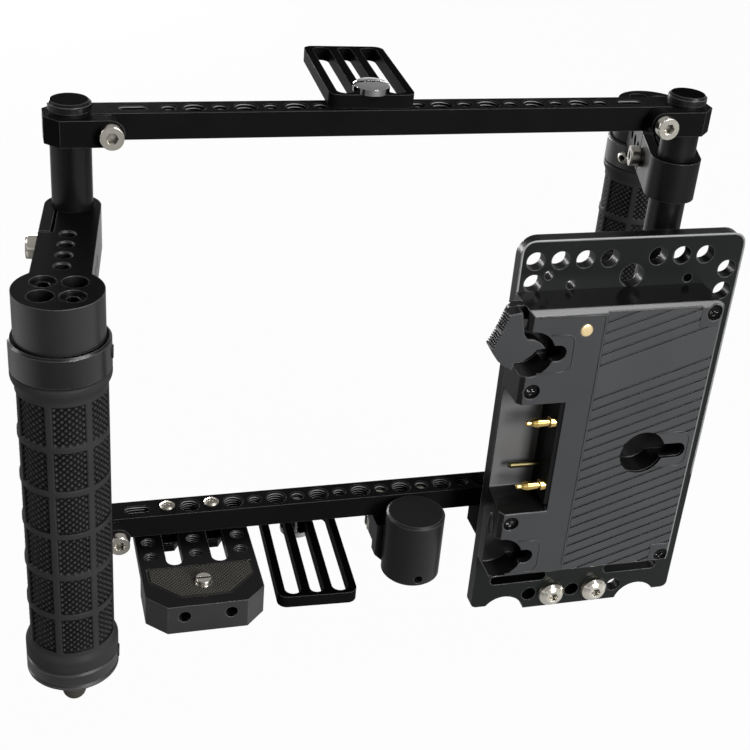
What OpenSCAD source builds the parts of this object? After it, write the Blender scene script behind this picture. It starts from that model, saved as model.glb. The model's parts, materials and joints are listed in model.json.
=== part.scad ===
// Monitor cage: two rods, two drilled bars, two swivelling handles, slotted plates, a camera base,
// a stand socket and a battery plate. Millimetres, +Z up, X along the bars, front towards -Y.
// The origin is the middle hole of the bottom bar, on the underside of the bar.

/* [Cage frame] */
// Distance between the two rod axes
rod_spacing = 242.5; // [240:0.5:300]
// Diameter of the rods
rod_d = 15; // [14:0.5:16]
// Clear height between the two bars
cage_gap = 168.5; // [160:0.5:240]
// Height of each bar
bar_h = 10; // [10:0.5:14]
// Depth of each bar, front to back
bar_depth = 12; // [11:0.5:13]
// Pitch between neighbouring holes of one size
hole_pitch = 19.05; // [18.5:0.05:19.35]
// Bore of the wide threaded holes
wide_hole_d = 7.94; // [7:0.02:8.5]
// Bore of the fine threaded holes
fine_hole_d = 5.1; // [4.8:0.1:5.6]

/* [Arms and handles] */
// Distance from the rod axis to the handle axis
arm_l = 69; // [66:0.5:90]
// Height of an arm
arm_h = 17; // [15:0.5:20]
// Diameter of the disc over a handle
disc_d = 30.6; // [29:0.2:34]
// Drop from the top bar to the left arm
left_drop = 25.6; // [4:0.2:60]
// Drop from the top bar to the right arm
right_drop = 11.8; // [4:0.2:26]
// Outward turn of the left arm
left_turn = 8; // [0:1:20]
// Outward turn of the right arm
right_turn = 17; // [0:1:60]
// Diameter of a grip over its ribs
grip_d = 31.4; // [30:0.2:34]
// Length of a grip sleeve
grip_l = 122; // [105:1:130]

/* [Slotted plates] */
// Length of a slotted plate
plate_l = 61; // [50:1:75]
// Thickness of a slotted plate
plate_t = 5.3; // [4:0.1:7]
// Width of the two outer slots
side_slot_w = 6.8; // [5:0.1:7.4]
// Turn of the top plate, positive anticlockwise
top_turn = -2.5; // [-20:0.5:20]
// Turn of the bottom plate, positive anticlockwise
bottom_turn = -2.5; // [-3:0.5:10]

/* [Camera base] */
// Width of the base plate
base_w = 48.6; // [46:0.2:50]
// Depth of the base plate in front of the screws
base_reach = 54.75; // [53:0.25:66]
// Thickness of the base plate
base_t = 13.5; // [11:0.5:18]

/* [Stand socket] */
// Outer diameter of the socket
socket_d = 26; // [23:0.5:28]
// Bore of the socket
spigot_d = 16.1; // [12.1:0.1:17.1]
// Length of the socket
socket_l = 31.8; // [28:0.2:44]

/* [Battery mount] */
// Width of the back plate
back_w = 99.2; // [97:0.2:110]
// Height of the back plate from its feet to its top edge
back_h = 185.2; // [180:0.2:200]
// Thickness of the back plate
back_t = 5.5; // [4.5:0.5:8]
// Width of the adapter
adapter_w = 85.8; // [84:0.2:90]
// Height of the adapter
adapter_h = 132.5; // [130:0.5:138]
// Thickness of the adapter
adapter_t = 18; // [17:0.5:22]
// Height between the two keyholes at the side
stud_rise = 101.6; // [99:0.1:103]
// Diameter of a keyhole
keyhole_d = 20.5; // [18:0.5:21]

/* [Hidden] */
$fn = 64;
hex_fn = 6;
cut = 0.5;
fit = 0.05;
slide_gap = 0.35;

// screws
screw_d = fine_hole_d - 2 * fit;
clear_d = screw_d + 0.5;
head_d = 8.5;
head_h = 5;
key_d = 4.6;
key_deep = 2.6;

// bars and rods
rod_x = rod_spacing / 2;
rod_wall = 2.25;
block_depth = rod_d + 2 * rod_wall;
bar_back = bar_depth / 2;
bar_front = -bar_depth / 2;
block_front = bar_back - block_depth;
rod_y = (bar_back + block_front) / 2;
block_end = rod_x + rod_d / 2 + 2.1;
block_chamfer = 5.4;
block_inner = rod_x - rod_d / 2 - 3;
slit_w = 1.5;
finger_back = bar_front - slit_w;
clamp_x = rod_x - rod_d / 2 - 6;
clamp_reach = bar_depth - 3;
top_z = bar_h + cage_gap;
wide_n = floor((rod_x - 34) / hole_pitch - 0.5);
hole_rim = 0.5;
bar_slot_x = rod_x - 22.75;
bar_slot_l = 10.6;
bar_slot_w = 4.8;
rod_stub = 3;
rod_rise = 1.4;
rod_bore_d = 10.2;
cap_d = rod_d + 0.6;
cap_h = 3.4;
cap_edge = 1;
cap_stem = 9;

// arms
arm_w = rod_d + 5.6;
arm_slit_w = 1.2;
arm_slit_x = arm_w / 2 - 4.1;
arm_finger_l = 23.6;
arm_screw_y = rod_d / 2 + 11.6;
arm_screw_reach = 14;
arm_hole_first = arm_screw_y + 6.9;
arm_hole_last = arm_l - 17;
arm_hole_n = 4;
arm_hole_step = (arm_hole_last - arm_hole_first) / (arm_hole_n - 1);
side_hole_deep = 5;
disc_hole_at = 5.2;
disc_bore_d = 9;
disc_bore_deep = 6.2;
left_top = top_z - left_drop;
right_top = top_z - right_drop;

// handles, measured down from the top of the arm
core_d = 23;
ring_d = grip_d + 2.8;
ring_h = 12;
ring_edge = 0.8;
ring_screw_d = 2.6;
ring_head_d = 4.8;
ring_head_h = 2.4;
ring_pocket_deep = 2.1;
ring_top = -arm_h;
grip_top = ring_top - ring_h;
grip_end = grip_top - grip_l;
flange_h = 6;
flange_lip = 2;
cell_deep = 0.8;
cell_rows = 6;
cell_cols = 7;
rib_w = 3;
rib_top = grip_top - flange_h;
rib_end = grip_end + flange_h + 2;
rib_step = (rib_top - rib_end) / cell_rows;
low_ring_h = 6;
plug_h = 4.4;
plug_edge = 3;
low_ring_end = grip_end - low_ring_h;
plug_end = low_ring_end - plug_h;
end_bolt_d = 11.4;
end_bolt_h = 14.4;
end_shank_d = 6;
end_shank_l = 26;
bolt_in_core = 12;
left_ring_turn = 0;
right_ring_turn = 130;

// slotted plates
mid_slot_w = screw_d + 2 * slide_gap;
plate_rib = 3.6;
plate_rail = 3.3;
plate_end = 2;
plate_gap = 0.3;
plate_round = 4;
plate_w = mid_slot_w + 2 * side_slot_w + 2 * plate_rib + 2 * plate_rail;
slot_pitch = (mid_slot_w + side_slot_w) / 2 + plate_rib;
slot_l = plate_l - 2 * plate_end;
coin_d = 14;
coin_h = 3.6;
coin_dome = 1.2;
coin_slot_w = 1.8;
coin_slot_deep = 1.8;
coin_grip = bar_h - 2;
top_screw_x = -hole_pitch / 2;
bottom_screw_x = -1.5 * hole_pitch;

// camera base
base_x = -4 * hole_pitch;
base_back = 6;
base_chamfer = 8;
base_slot_w = screw_d + 2;
base_slot_front = -27.7;
base_slot_l = base_slot_w / 2 - base_slot_front;
base_hole_d = 5.6;
base_hole_rows = [-10.8, -21];
base_tongue_t = 5;
base_step_y = base_slot_front - 1;
base_front_z = -5.4;
base_front_deep = 14;
pad_back = -29.2;
pad_front = 5.5 - base_reach;
pad_half = base_w / 2 - 2.6;
pad_nose = 10;
pad_taper = 11.5;
pad_t = 1.6;
pad_rise = 0.7;
knurl_step = 4.6;
knurl_n = 7;
knurl_w = 0.8;
knurl_deep = 0.4;
camera_y = 13.25 - base_reach;
camera_d = 6.2;
camera_rise = 2.4;
camera_shank_d = camera_d + 1;
camera_shoulder = 0.2;
knob_d = 13;
knob_h = 4;
pan_d = 6.6;
pan_h = 1.8;
pan_edge = 0.8;
pan_flat = 2.6;
pan_cross_deep = 0.7;
washer_d = 12;
washer_t = 1.4;
nut_d = 10.4;
nut_h = 4.2;
nut_show = 1.5;

// stand socket
socket_x = hole_pitch + 1.45;
socket_y = bar_front - socket_d / 2 - 0.25;
socket_top = bar_h - 0.2;
socket_end = socket_top - socket_l;
socket_roof = 3;
socket_edge = 1;
lock_d = 4;
lock_z = socket_end + 4;
foot_t = 11.8;
foot_back = 4.8;
foot_front = -14.25;
foot_w = 31;
web_t = 5.5;
web_drop = 20;
web_bevel = 4;
bracket_head_d = 9.4;
bracket_head_h = 6;
bracket_head_room = 0.3;

// battery plate
clamp_face = block_front - head_h - 0.75;
bracket_left = 3.5 * hole_pitch - 11.6;
bracket_right = rod_x - rod_d / 2 - 1.75;
bracket_t = 15;
bracket_web = 7.2;
bracket_drop = 44;
bracket_web_reach = 17;
back_left = bracket_left - 4.9;
back_x = back_left + back_w / 2;
back_right = back_left + back_w;
back_rear = clamp_face;
back_front = back_rear - back_t;
back_low = -44.2;
back_top = back_low + back_h;
back_round = 8;
foot_round = 3;
tongue_drop = 3.4;
notch_at = 33.4;
notch_r = 10.5;
notch_rise = 4.5;
row_pitch = 10.7;
row_d = 7.9;
row_top = back_top - 9.3;
row_low = back_low + 4.6;
centre_hole_d = 10.5;
pin_hole_d = 4;
long_slot_l = 27;
long_slot_w = 5;
long_slot_at = 28;
long_slot_z = back_low + 14.6;
plate_bolt_d = 6;
plate_bolt_head = 13;
plate_bolt_h = 4.6;
plate_bolt_rim = 1;

// adapter
adapter_left = back_left;
adapter_right = adapter_left + adapter_w;
adapter_low = -14;
adapter_top = adapter_low + adapter_h;
adapter_front = back_front - adapter_t;
adapter_bevel = 2;
adapter_round = 4;
stud_mid = adapter_low + 62.5;
side_key_x = adapter_left + 2.6;
side_key_reach = 15.2;
right_key_x = adapter_right - 24.8;
right_key_reach = 20;
key_slot_w = 7.2;
key_wall = 4;
key_deep_t = 12;
key_channel_w = 13;
recess_w = 21.2;
recess_low = stud_mid - 27.4;
recess_high = stud_mid + 27.4;
recess_deep = 16.4;
recess_ramp = 3.8;
panel_left = adapter_left + 33.4;
panel_right = adapter_right - adapter_bevel;
panel_low = adapter_low + adapter_bevel;
panel_high = adapter_top - adapter_bevel;
panel_t = 1.2;
panel_gap = 0.1;
panel_notch = 9;
groove_turn = 18.7;
groove_step = 5;
groove_w = 1.2;
groove_deep = 0.6;
groove_upper_n = 5;
groove_upper_z = adapter_top - 26.9;
groove_lower_n = 21;
groove_lower_z = adapter_top - 43.2;
label_w = 31;
label_h = 17;
label_round = 5;
screw_m = 3;
sunk_d = 6.5;
sunk_deep = 3.4;
sunk_h = 2.2;
sunk_grip = 4;
cross_l = 3.6;
cross_w = 0.9;
cross_deep = 1.1;
dot_d = 5.5;
dot_t = 1.2;
dot_rise = 0.5;
dot_in = 24.9;
dot_down = 9.3;
contact_w = 2;
contact_gap = 0.1;
contact_front = adapter_front + 0.4;
pin_d = 4.2;
pin_collar_d = 5;
pin_collar_l = 2.4;
pin_neck_l = 0.8;
pin_nub_d = 2.2;
pin_nub_l = 2.2;
pin_l = 13;
pin_root = 1.4;
pin_lift = 0.6;
pin_rise = 15.8;
pin_tip = 1.2;
pin_y = adapter_front + 3.1;
sense_d = 2.6;
sense_l = 14;
sense_drop = 10.3;
sense_y = adapter_front + 12.2;

// release lever, placed from the upper side keyhole
lever_t = 6;
lever_inset = 0.5;
lever_skin = 1.2;
lever_front = adapter_front + lever_inset;
lever_back = lever_front + lever_t;
pivot_x = adapter_left - 3.4;
pivot_z = adapter_top - 3.3;
pivot_d = 3;
lug_t = 4;
lug_gap = 0.4;
lug_r = 3.2;
tooth_n = 6;
tooth_w = 0.6;
tooth_deep = 0.9;
thumb = [[-11.3, -12.2], [-7.9, -5.2], [-5.4, 2.4]];
lever_pts = concat(
  [
    [2, -6.5], [3.6, -8.9], [6.8, -9.3], [9.9, -11.1], [12, -13.4], [8.2, -13.9], [6.4, -16.2], [3.5, -18.3],
    [-0.6, -19.4], [-1.2, -22.6], [-5.1, -20.4], [-7.8, -17.9]
  ],
  thumb, [[0, 3.2]]
);

black = [0.10, 0.10, 0.11];
satin = [0.16, 0.16, 0.17];
rubber = [0.20, 0.20, 0.20];
steel = [0.72, 0.71, 0.68];
chrome = [0.80, 0.80, 0.82];
plastic = [0.22, 0.23, 0.25];
slate = [0.30, 0.31, 0.30];
gilt = [0.83, 0.66, 0.28];
pad_tone = [0.42, 0.38, 0.34];

// Stadium outline along Y, from end to end
module slot2d(l, w) {
  translate([-w / 2, w / 2]) square([w, l - w]);
  translate([0, w / 2]) circle(d = w);
  translate([0, l - w / 2]) circle(d = w);
}

// Extrudes an outline drawn in X and Z from y0 at the front to y1 at the back
module along_y(y0, y1) {
  translate([0, y1, 0]) rotate([90, 0, 0]) linear_extrude(y1 - y0) children();
}

// Extrudes an outline drawn in Y and Z from x0 to x1
module along_x(x0, x1) {
  translate([x0, 0, 0]) rotate([90, 0, 90]) linear_extrude(x1 - x0) children();
}

// Cap screw with a hexagon socket: the seat lies at z = 0 and the head points to +Z
module cap_screw(hd, hh, sd, sl) {
  difference() {
    union() {
      cylinder(d = hd, h = hh);
      translate([0, 0, -sl]) cylinder(d = sd, h = sl + hh / 2);
    }
    translate([0, 0, hh - key_deep]) cylinder(d = key_d, h = key_deep + cut, $fn = hex_fn);
  }
}

// Button-head screw with a hexagon socket: the seat lies at z = 0 and the dome points to +Z
module button_screw(hd, hh, rim, sd, sl) {
  difference() {
    union() {
      rotate_extrude() polygon([
        [0, 0], [hd / 2, 0], [hd / 2, rim], [hd * 0.46, rim + (hh - rim) * 0.4],
        [hd * 0.37, rim + (hh - rim) * 0.75], [hd * 0.26, hh], [0, hh]
      ]);
      translate([0, 0, -sl]) cylinder(d = sd, h = sl + hh / 2);
    }
    translate([0, 0, hh - key_deep]) cylinder(d = key_d, h = key_deep + cut, $fn = hex_fn);
  }
}

// Threaded hole with a broken rim at the upper face, from z = 0 to z = h
module rimmed_hole(d, h) {
  translate([0, 0, -cut]) cylinder(d = d, h = h + 2 * cut);
  translate([0, 0, h - hole_rim]) cylinder(d1 = d, d2 = d + 2 * hole_rim + 2 * cut, h = hole_rim + cut);
}

// End of a bar: the block round the rod and the finger in front of the bar, at +X
module bar_end() {
  linear_extrude(bar_h) polygon([
    [block_inner, block_front], [block_end - block_chamfer, block_front],
    [block_end, block_front + block_chamfer], [block_end, bar_back - block_chamfer],
    [block_end - block_chamfer, bar_back], [block_inner, bar_back]
  ]);
  translate([clamp_x, block_front, 0]) cube([block_inner - clamp_x + cut, finger_back - block_front, bar_h]);
  translate([clamp_x, finger_back, bar_h / 2]) rotate([90, 0, 0]) cylinder(d = bar_h, h = finger_back - block_front);
}

// Cuts of a bar end: rod bore, clamp slit and screw hole, at +X
module bar_end_cuts() {
  translate([rod_x, rod_y, -cut]) cylinder(d = rod_d + 2 * fit, h = bar_h + 2 * cut);
  translate([block_inner - cut, finger_back, -cut]) cube([rod_x - block_inner, slit_w, bar_h + 2 * cut]);
  translate([clamp_x, finger_back + cut, bar_h / 2]) rotate([90, 0, 0]) cylinder(d = clear_d, h = block_depth);
  translate([clamp_x, bar_front + clamp_reach, bar_h / 2]) rotate([90, 0, 0])
    cylinder(d = screw_d + 2 * fit, h = clamp_reach + cut);
  translate([bar_slot_x + bar_slot_l / 2, 0, -cut]) rotate([0, 0, 90]) linear_extrude(bar_h + 2 * cut)
    slot2d(bar_slot_l, bar_slot_w);
}

// Drilled bar with a clamp at each end, underside at z = 0
module bar() {
  difference() {
    union() {
      translate([-block_inner - cut, bar_front, 0]) cube([2 * block_inner + 2 * cut, bar_depth, bar_h]);
      bar_end();
      mirror([1, 0, 0]) bar_end();
    }
    bar_end_cuts();
    mirror([1, 0, 0]) bar_end_cuts();
    for (k = [-wide_n : wide_n]) translate([k * hole_pitch, 0, 0]) rimmed_hole(wide_hole_d, bar_h);
    for (k = [-wide_n - 1 : wide_n]) translate([(k + 0.5) * hole_pitch, 0, 0]) rimmed_hole(fine_hole_d, bar_h);
  }
}

// The two clamp screws of a bar whose underside lies at z = 0
module bar_clamp_screws() {
  for (s = [-1, 1]) translate([s * clamp_x, block_front, bar_h / 2]) rotate([90, 0, 0])
    cap_screw(head_d, head_h, screw_d, block_depth - 3.5);
}

module top_bar() {
  color(black) translate([0, 0, top_z]) bar();
}

module bottom_bar() {
  color(black) bar();
}

module top_clamp_screws() {
  color(steel) translate([0, 0, top_z]) bar_clamp_screws();
}

module bottom_clamp_screws() {
  color(steel) bar_clamp_screws();
}

// Hollow rod from its lower stub to just over the top bar
module rod(s) {
  translate([s * rod_x, rod_y, -rod_stub]) difference() {
    cylinder(d = rod_d, h = rod_stub + top_z + bar_h + rod_rise);
    translate([0, 0, -cut]) cylinder(d = rod_bore_d, h = rod_stub + top_z + bar_h + rod_rise + 2 * cut);
  }
}

module rod_left() {
  color(satin) rod(-1);
}

module rod_right() {
  color(satin) rod(1);
}

// Cap with a stem that fills the end of a rod bore, seat at z = 0 and head towards +Z
module rod_cap() {
  rotate_extrude() polygon([
    [0, -cap_stem], [rod_bore_d / 2 - fit, -cap_stem], [rod_bore_d / 2 - fit, 0], [cap_d / 2, 0],
    [cap_d / 2, cap_h - cap_edge], [cap_d / 2 - cap_edge, cap_h], [0, cap_h]
  ]);
}

module rod_caps_top() {
  color(black) for (s = [-1, 1]) translate([s * rod_x, rod_y, top_z + bar_h + rod_rise]) rod_cap();
}

module rod_caps_bottom() {
  color(black) for (s = [-1, 1]) translate([s * rod_x, rod_y, -rod_stub]) mirror([0, 0, 1]) rod_cap();
}

// Places the pieces of the left handle: rod axis at the origin, arm towards -Y, top of the arm at z = 0
module at_left() {
  translate([-rod_x, rod_y, left_top]) rotate([0, 0, -left_turn]) children();
}

// Places the pieces of the right handle, a mirrored left one that points backwards
module at_right() {
  translate([rod_x, rod_y, right_top]) rotate([0, 0, 180 - right_turn]) mirror([1, 0, 0]) children();
}

// Moves to the handle axis at the end of an arm
module at_disc() {
  translate([0, -arm_l, 0]) children();
}

// Arm: split clamp round the rod, drilled beam, disc with four counterbored holes
module arm() {
  difference() {
    translate([0, 0, -arm_h]) union() {
      cylinder(d = arm_w, h = arm_h);
      translate([-arm_w / 2, -arm_l, 0]) cube([arm_w, arm_l, arm_h]);
      translate([0, -arm_l, 0]) cylinder(d = disc_d, h = arm_h);
    }
    translate([0, 0, -arm_h - cut]) cylinder(d = rod_d + 2 * fit, h = arm_h + 2 * cut);
    translate([-arm_slit_x, -arm_finger_l, -arm_h - cut]) cube([arm_slit_w, arm_finger_l, arm_h + 2 * cut]);
    translate([-arm_w, -arm_finger_l - arm_slit_w, -arm_h - cut])
      cube([arm_w - arm_slit_x + arm_slit_w, arm_slit_w, arm_h + 2 * cut]);
    translate([-arm_slit_x + cut, -arm_screw_y, -arm_h / 2]) rotate([0, -90, 0]) cylinder(d = clear_d, h = arm_w);
    translate([-arm_slit_x, -arm_screw_y, -arm_h / 2]) rotate([0, 90, 0])
      cylinder(d = screw_d + 2 * fit, h = arm_screw_reach);
    for (k = [0 : arm_hole_n - 1]) translate([0, -arm_hole_first - k * arm_hole_step, -arm_h])
      rimmed_hole(fine_hole_d, arm_h);
    for (k = [0 : arm_hole_n - 2], s = [-1, 1])
      translate([s * (arm_w / 2 + cut), -arm_hole_first - (k + 0.5) * arm_hole_step, -arm_h / 2])
        rotate([0, -s * 90, 0]) cylinder(d = fine_hole_d, h = side_hole_deep + cut);
    at_disc() for (x = [-1, 1], y = [-1, 1]) translate([x * disc_hole_at, y * disc_hole_at, 0]) {
      translate([0, 0, -disc_bore_deep]) cylinder(d = disc_bore_d, h = disc_bore_deep + cut);
      translate([0, 0, -arm_h - cut]) cylinder(d = clear_d, h = arm_h + cut);
    }
  }
}

module arm_clamp_screw() {
  translate([-arm_w / 2, -arm_screw_y, -arm_h / 2]) rotate([0, -90, 0])
    cap_screw(head_d, head_h, screw_d, arm_screw_reach);
}

// Two bolts through opposite holes of the disc into the core
module disc_bolts() {
  at_disc() for (s = [-1, 1]) translate([s * disc_hole_at, -s * disc_hole_at, -disc_bore_deep])
    cap_screw(head_d, head_h, screw_d, arm_h - disc_bore_deep + bolt_in_core - 1);
}

// Core of the handle, from the underside of the arm to the end plug
module core() {
  at_disc() difference() {
    translate([0, 0, low_ring_end]) cylinder(d = core_d, h = ring_top - low_ring_end);
    for (s = [-1, 1]) translate([s * disc_hole_at, -s * disc_hole_at, ring_top - bolt_in_core])
      cylinder(d = screw_d + 2 * fit, h = bolt_in_core + cut);
    translate([0, 0, low_ring_end - cut]) cylinder(d = end_shank_d + 2 * fit, h = end_shank_l + cut);
  }
}

// Rubber sleeve: flared ends and a grid of raised ribs round sunk cells
module grip() {
  at_disc() difference() {
    union() {
      rotate_extrude() polygon([
        [0, grip_top], [ring_d / 2, grip_top], [ring_d / 2, grip_top - flange_lip], [grip_d / 2, rib_top],
        [grip_d / 2 - cell_deep, rib_top - cell_deep], [grip_d / 2 - cell_deep, rib_end + cell_deep],
        [grip_d / 2, rib_end], [ring_d / 2, grip_end + flange_h], [ring_d / 2, grip_end], [0, grip_end]
      ]);
      for (k = [1 : cell_rows - 1]) translate([0, 0, rib_top - k * rib_step - rib_w / 2])
        cylinder(d = grip_d, h = rib_w);
      intersection() {
        translate([0, 0, rib_end]) cylinder(d = grip_d, h = rib_top - rib_end);
        for (k = [0 : cell_cols - 1]) rotate([0, 0, k * 360 / cell_cols])
          translate([0, -rib_w / 2, rib_end]) cube([grip_d, rib_w, rib_top - rib_end]);
      }
    }
    translate([0, 0, grip_end - cut]) cylinder(d = core_d + 2 * fit, h = grip_l + 2 * cut);
  }
}

// Clamp ring of a handle from z0 up to z0 + h, with a pocket for its screw
module ring(z0, h, turn) {
  at_disc() difference() {
    translate([0, 0, z0]) rotate_extrude() polygon([
      [core_d / 2 + fit, 0], [ring_d / 2 - ring_edge, 0], [ring_d / 2, ring_edge], [ring_d / 2, h - ring_edge],
      [ring_d / 2 - ring_edge, h], [core_d / 2 + fit, h]
    ]);
    translate([0, 0, z0 + h / 2]) rotate([0, 90, turn]) {
      cylinder(d = ring_screw_d + 2 * fit, h = ring_d);
      translate([0, 0, ring_d / 2 - ring_pocket_deep]) cylinder(d = ring_head_d + 4 * fit, h = ring_d);
    }
  }
}

// Screw of a clamp ring, its tip just off the core
module ring_screw(z0, h, turn) {
  at_disc() translate([0, 0, z0 + h / 2]) rotate([0, 90, turn]) translate([0, 0, ring_d / 2 - ring_pocket_deep])
    difference() {
      union() {
        cylinder(d = ring_head_d, h = ring_head_h);
        translate([0, 0, core_d / 2 + fit - ring_d / 2 + ring_pocket_deep])
          cylinder(d = ring_screw_d, h = ring_d / 2 - ring_pocket_deep - core_d / 2);
      }
      translate([0, 0, ring_head_h / 2]) cylinder(d = ring_screw_d, h = ring_head_h, $fn = hex_fn);
    }
}

module upper_ring(turn) {
  ring(grip_top, ring_h, turn);
}

module lower_ring(turn) {
  ring(low_ring_end, low_ring_h, turn);
}

module ring_screws(turn) {
  ring_screw(grip_top, ring_h, turn);
  ring_screw(low_ring_end, low_ring_h, turn);
}

// Plug under the lower ring with a rounded-off edge
module end_plug() {
  at_disc() translate([0, 0, plug_end]) difference() {
    rotate_extrude() polygon([
      [0, 0], [ring_d / 2 - plug_edge, 0], [ring_d / 2, plug_edge], [ring_d / 2, plug_h - ring_edge],
      [ring_d / 2 - ring_edge, plug_h], [0, plug_h]
    ]);
    translate([0, 0, -cut]) cylinder(d = end_shank_d + 2 * fit, h = plug_h + 2 * cut);
  }
}

module end_bolt() {
  at_disc() translate([0, 0, plug_end]) mirror([0, 0, 1])
    cap_screw(end_bolt_d, end_bolt_h, end_shank_d, end_shank_l + plug_h - 2);
}

module left_arm() {
  color(black) at_left() arm();
}

module left_clamp_screw() {
  color(steel) at_left() arm_clamp_screw();
}

module left_disc_bolts() {
  color(satin) at_left() disc_bolts();
}

module left_core() {
  color(satin) at_left() core();
}

module left_grip() {
  color(rubber) at_left() grip();
}

module left_upper_ring() {
  color(black) at_left() upper_ring(left_ring_turn);
}

module left_lower_ring() {
  color(black) at_left() lower_ring(left_ring_turn);
}

module left_ring_screws() {
  color(steel) at_left() ring_screws(left_ring_turn);
}

module left_end_plug() {
  color(black) at_left() end_plug();
}

module left_end_bolt() {
  color(satin) at_left() end_bolt();
}

module right_arm() {
  color(black) at_right() arm();
}

module right_clamp_screw() {
  color(steel) at_right() arm_clamp_screw();
}

module right_disc_bolts() {
  color(satin) at_right() disc_bolts();
}

module right_core() {
  color(satin) at_right() core();
}

module right_grip() {
  color(rubber) at_right() grip();
}

module right_upper_ring() {
  color(black) at_right() upper_ring(right_ring_turn);
}

module right_lower_ring() {
  color(black) at_right() lower_ring(right_ring_turn);
}

module right_ring_screws() {
  color(steel) at_right() ring_screws(right_ring_turn);
}

module right_end_plug() {
  color(black) at_right() end_plug();
}

module right_end_bolt() {
  color(satin) at_right() end_bolt();
}

// Outline of a slotted plate with round corners, its near end at y = 0
module plate2d() {
  translate([-plate_w / 2, plate_round]) square([plate_w, plate_l - 2 * plate_round]);
  translate([plate_round - plate_w / 2, 0]) square([plate_w - 2 * plate_round, plate_l]);
  for (s = [-1, 1], y = [plate_round, plate_l - plate_round])
    translate([s * (plate_w / 2 - plate_round), y]) circle(r = plate_round);
}

// Slotted plate towards +Y, the screw at the origin in the near end of the middle slot
module slotted_plate() {
  translate([0, -plate_end - mid_slot_w / 2, 0]) difference() {
    linear_extrude(plate_t) plate2d();
    translate([0, plate_end, -cut]) linear_extrude(plate_t + 2 * cut) {
      slot2d(slot_l, mid_slot_w);
      for (s = [-1, 1]) translate([s * slot_pitch, 0]) slot2d(slot_l, side_slot_w);
    }
  }
}

// Coin-slot screw with a domed head, seat at z = 0
module coin_screw() {
  difference() {
    union() {
      rotate_extrude() polygon([
        [0, 0], [coin_d / 2, 0], [coin_d / 2, coin_h - coin_dome], [coin_d / 2 - coin_dome, coin_h - 0.3],
        [coin_d / 4, coin_h], [0, coin_h]
      ]);
      translate([0, 0, -plate_t - plate_gap - coin_grip])
        cylinder(d = screw_d, h = plate_t + plate_gap + coin_grip + coin_h / 2);
    }
    translate([-coin_d, -coin_slot_w / 2, coin_h - coin_slot_deep]) cube([2 * coin_d, coin_slot_w, coin_h]);
  }
}

module top_plate() {
  color(black) translate([top_screw_x, 0, top_z + bar_h + plate_gap]) rotate([0, 0, top_turn]) slotted_plate();
}

module top_plate_screw() {
  color(chrome) translate([top_screw_x, 0, top_z + bar_h + plate_gap + plate_t]) rotate([0, 0, top_turn])
    coin_screw();
}

module bottom_plate() {
  color(black) translate([bottom_screw_x, 0, -plate_gap - plate_t]) rotate([0, 0, 180 + bottom_turn])
    slotted_plate();
}

module bottom_plate_screw() {
  color(chrome) translate([bottom_screw_x, 0, -plate_gap - plate_t]) rotate([0, 0, bottom_turn]) mirror([0, 0, 1])
    coin_screw();
}

// Outline of the knurled pad, square at the back and tapered towards the front
module pad2d(grow) {
  polygon([
    [-pad_half - grow, pad_back + grow], [-pad_half - grow, pad_front + pad_taper - grow],
    [-pad_nose - grow, pad_front - grow], [pad_nose + grow, pad_front - grow],
    [pad_half + grow, pad_front + pad_taper - grow], [pad_half + grow, pad_back + grow]
  ]);
}

// Camera base plate: thin slotted tongue under the bar and a thick front block with the seat of the pad
module base_plate() {
  color(black) translate([base_x, 0, 0]) difference() {
    translate([0, 0, -base_t]) linear_extrude(base_t) polygon([
      [-base_w / 2, base_back], [-base_w / 2, base_chamfer - base_reach], [base_chamfer - base_w / 2, -base_reach],
      [base_w / 2 - base_chamfer, -base_reach], [base_w / 2, base_chamfer - base_reach], [base_w / 2, base_back]
    ]);
    translate([-base_w / 2 - cut, base_step_y, -base_t - cut])
      cube([base_w + 2 * cut, base_back - base_step_y + cut, base_t - base_tongue_t + cut]);
    for (s = [-1, 1]) translate([s * hole_pitch / 2, base_slot_front, -base_t - cut])
      linear_extrude(base_t + 2 * cut) slot2d(base_slot_l, base_slot_w);
    for (k = [-1 : 1], y = base_hole_rows) translate([k * hole_pitch, y, -base_t - cut])
      cylinder(d = base_hole_d, h = base_t + 2 * cut);
    translate([0, 0, pad_rise - pad_t]) linear_extrude(pad_t) pad2d(2 * fit);
    translate([0, camera_y, -base_t - cut]) cylinder(d = camera_shank_d + 2 * fit, h = base_t + 2 * cut);
    translate([0, camera_y, -base_t - cut]) cylinder(d = knob_d + 2, h = knob_h + cut + 0.5);
    for (s = [-1, 1]) translate([s * hole_pitch / 2, base_front_deep - base_reach, base_front_z])
      rotate([90, 0, 0]) cylinder(d = fine_hole_d, h = base_front_deep + cut);
  }
}

// Pad with crossed knurl grooves on its top
module base_pad() {
  color(pad_tone) translate([base_x, 0, pad_rise]) difference() {
    translate([0, 0, -pad_t]) linear_extrude(pad_t) pad2d(0);
    translate([0, camera_y, -pad_t - cut]) cylinder(d = camera_shank_d + 1, h = pad_t + 2 * cut);
    for (a = [-45, 45], k = [-knurl_n : knurl_n]) translate([0, (pad_back + pad_front) / 2, -knurl_deep])
      rotate([0, 0, a]) translate([k * knurl_step - knurl_w / 2, -base_w, 0]) cube([knurl_w, 2 * base_w, pad_t]);
  }
}

// Captive camera screw: threaded stud above the pad, knurled knob in the underside
module camera_screw() {
  color(steel) translate([base_x, camera_y, 0]) difference() {
    union() {
      translate([0, 0, -base_t]) cylinder(d = knob_d, h = knob_h);
      translate([0, 0, -base_t]) cylinder(d = camera_shank_d, h = base_t + pad_rise + camera_shoulder);
      translate([0, 0, -base_t]) cylinder(d = camera_d, h = base_t + pad_rise + camera_rise);
    }
    translate([-knob_d, -coin_slot_w / 2, -base_t - cut]) cube([2 * knob_d, coin_slot_w, coin_slot_deep + cut]);
    translate([-knob_d, -cross_w / 2, pad_rise + camera_rise - cross_deep]) cube([2 * knob_d, cross_w, knob_h]);
  }
}

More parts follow.
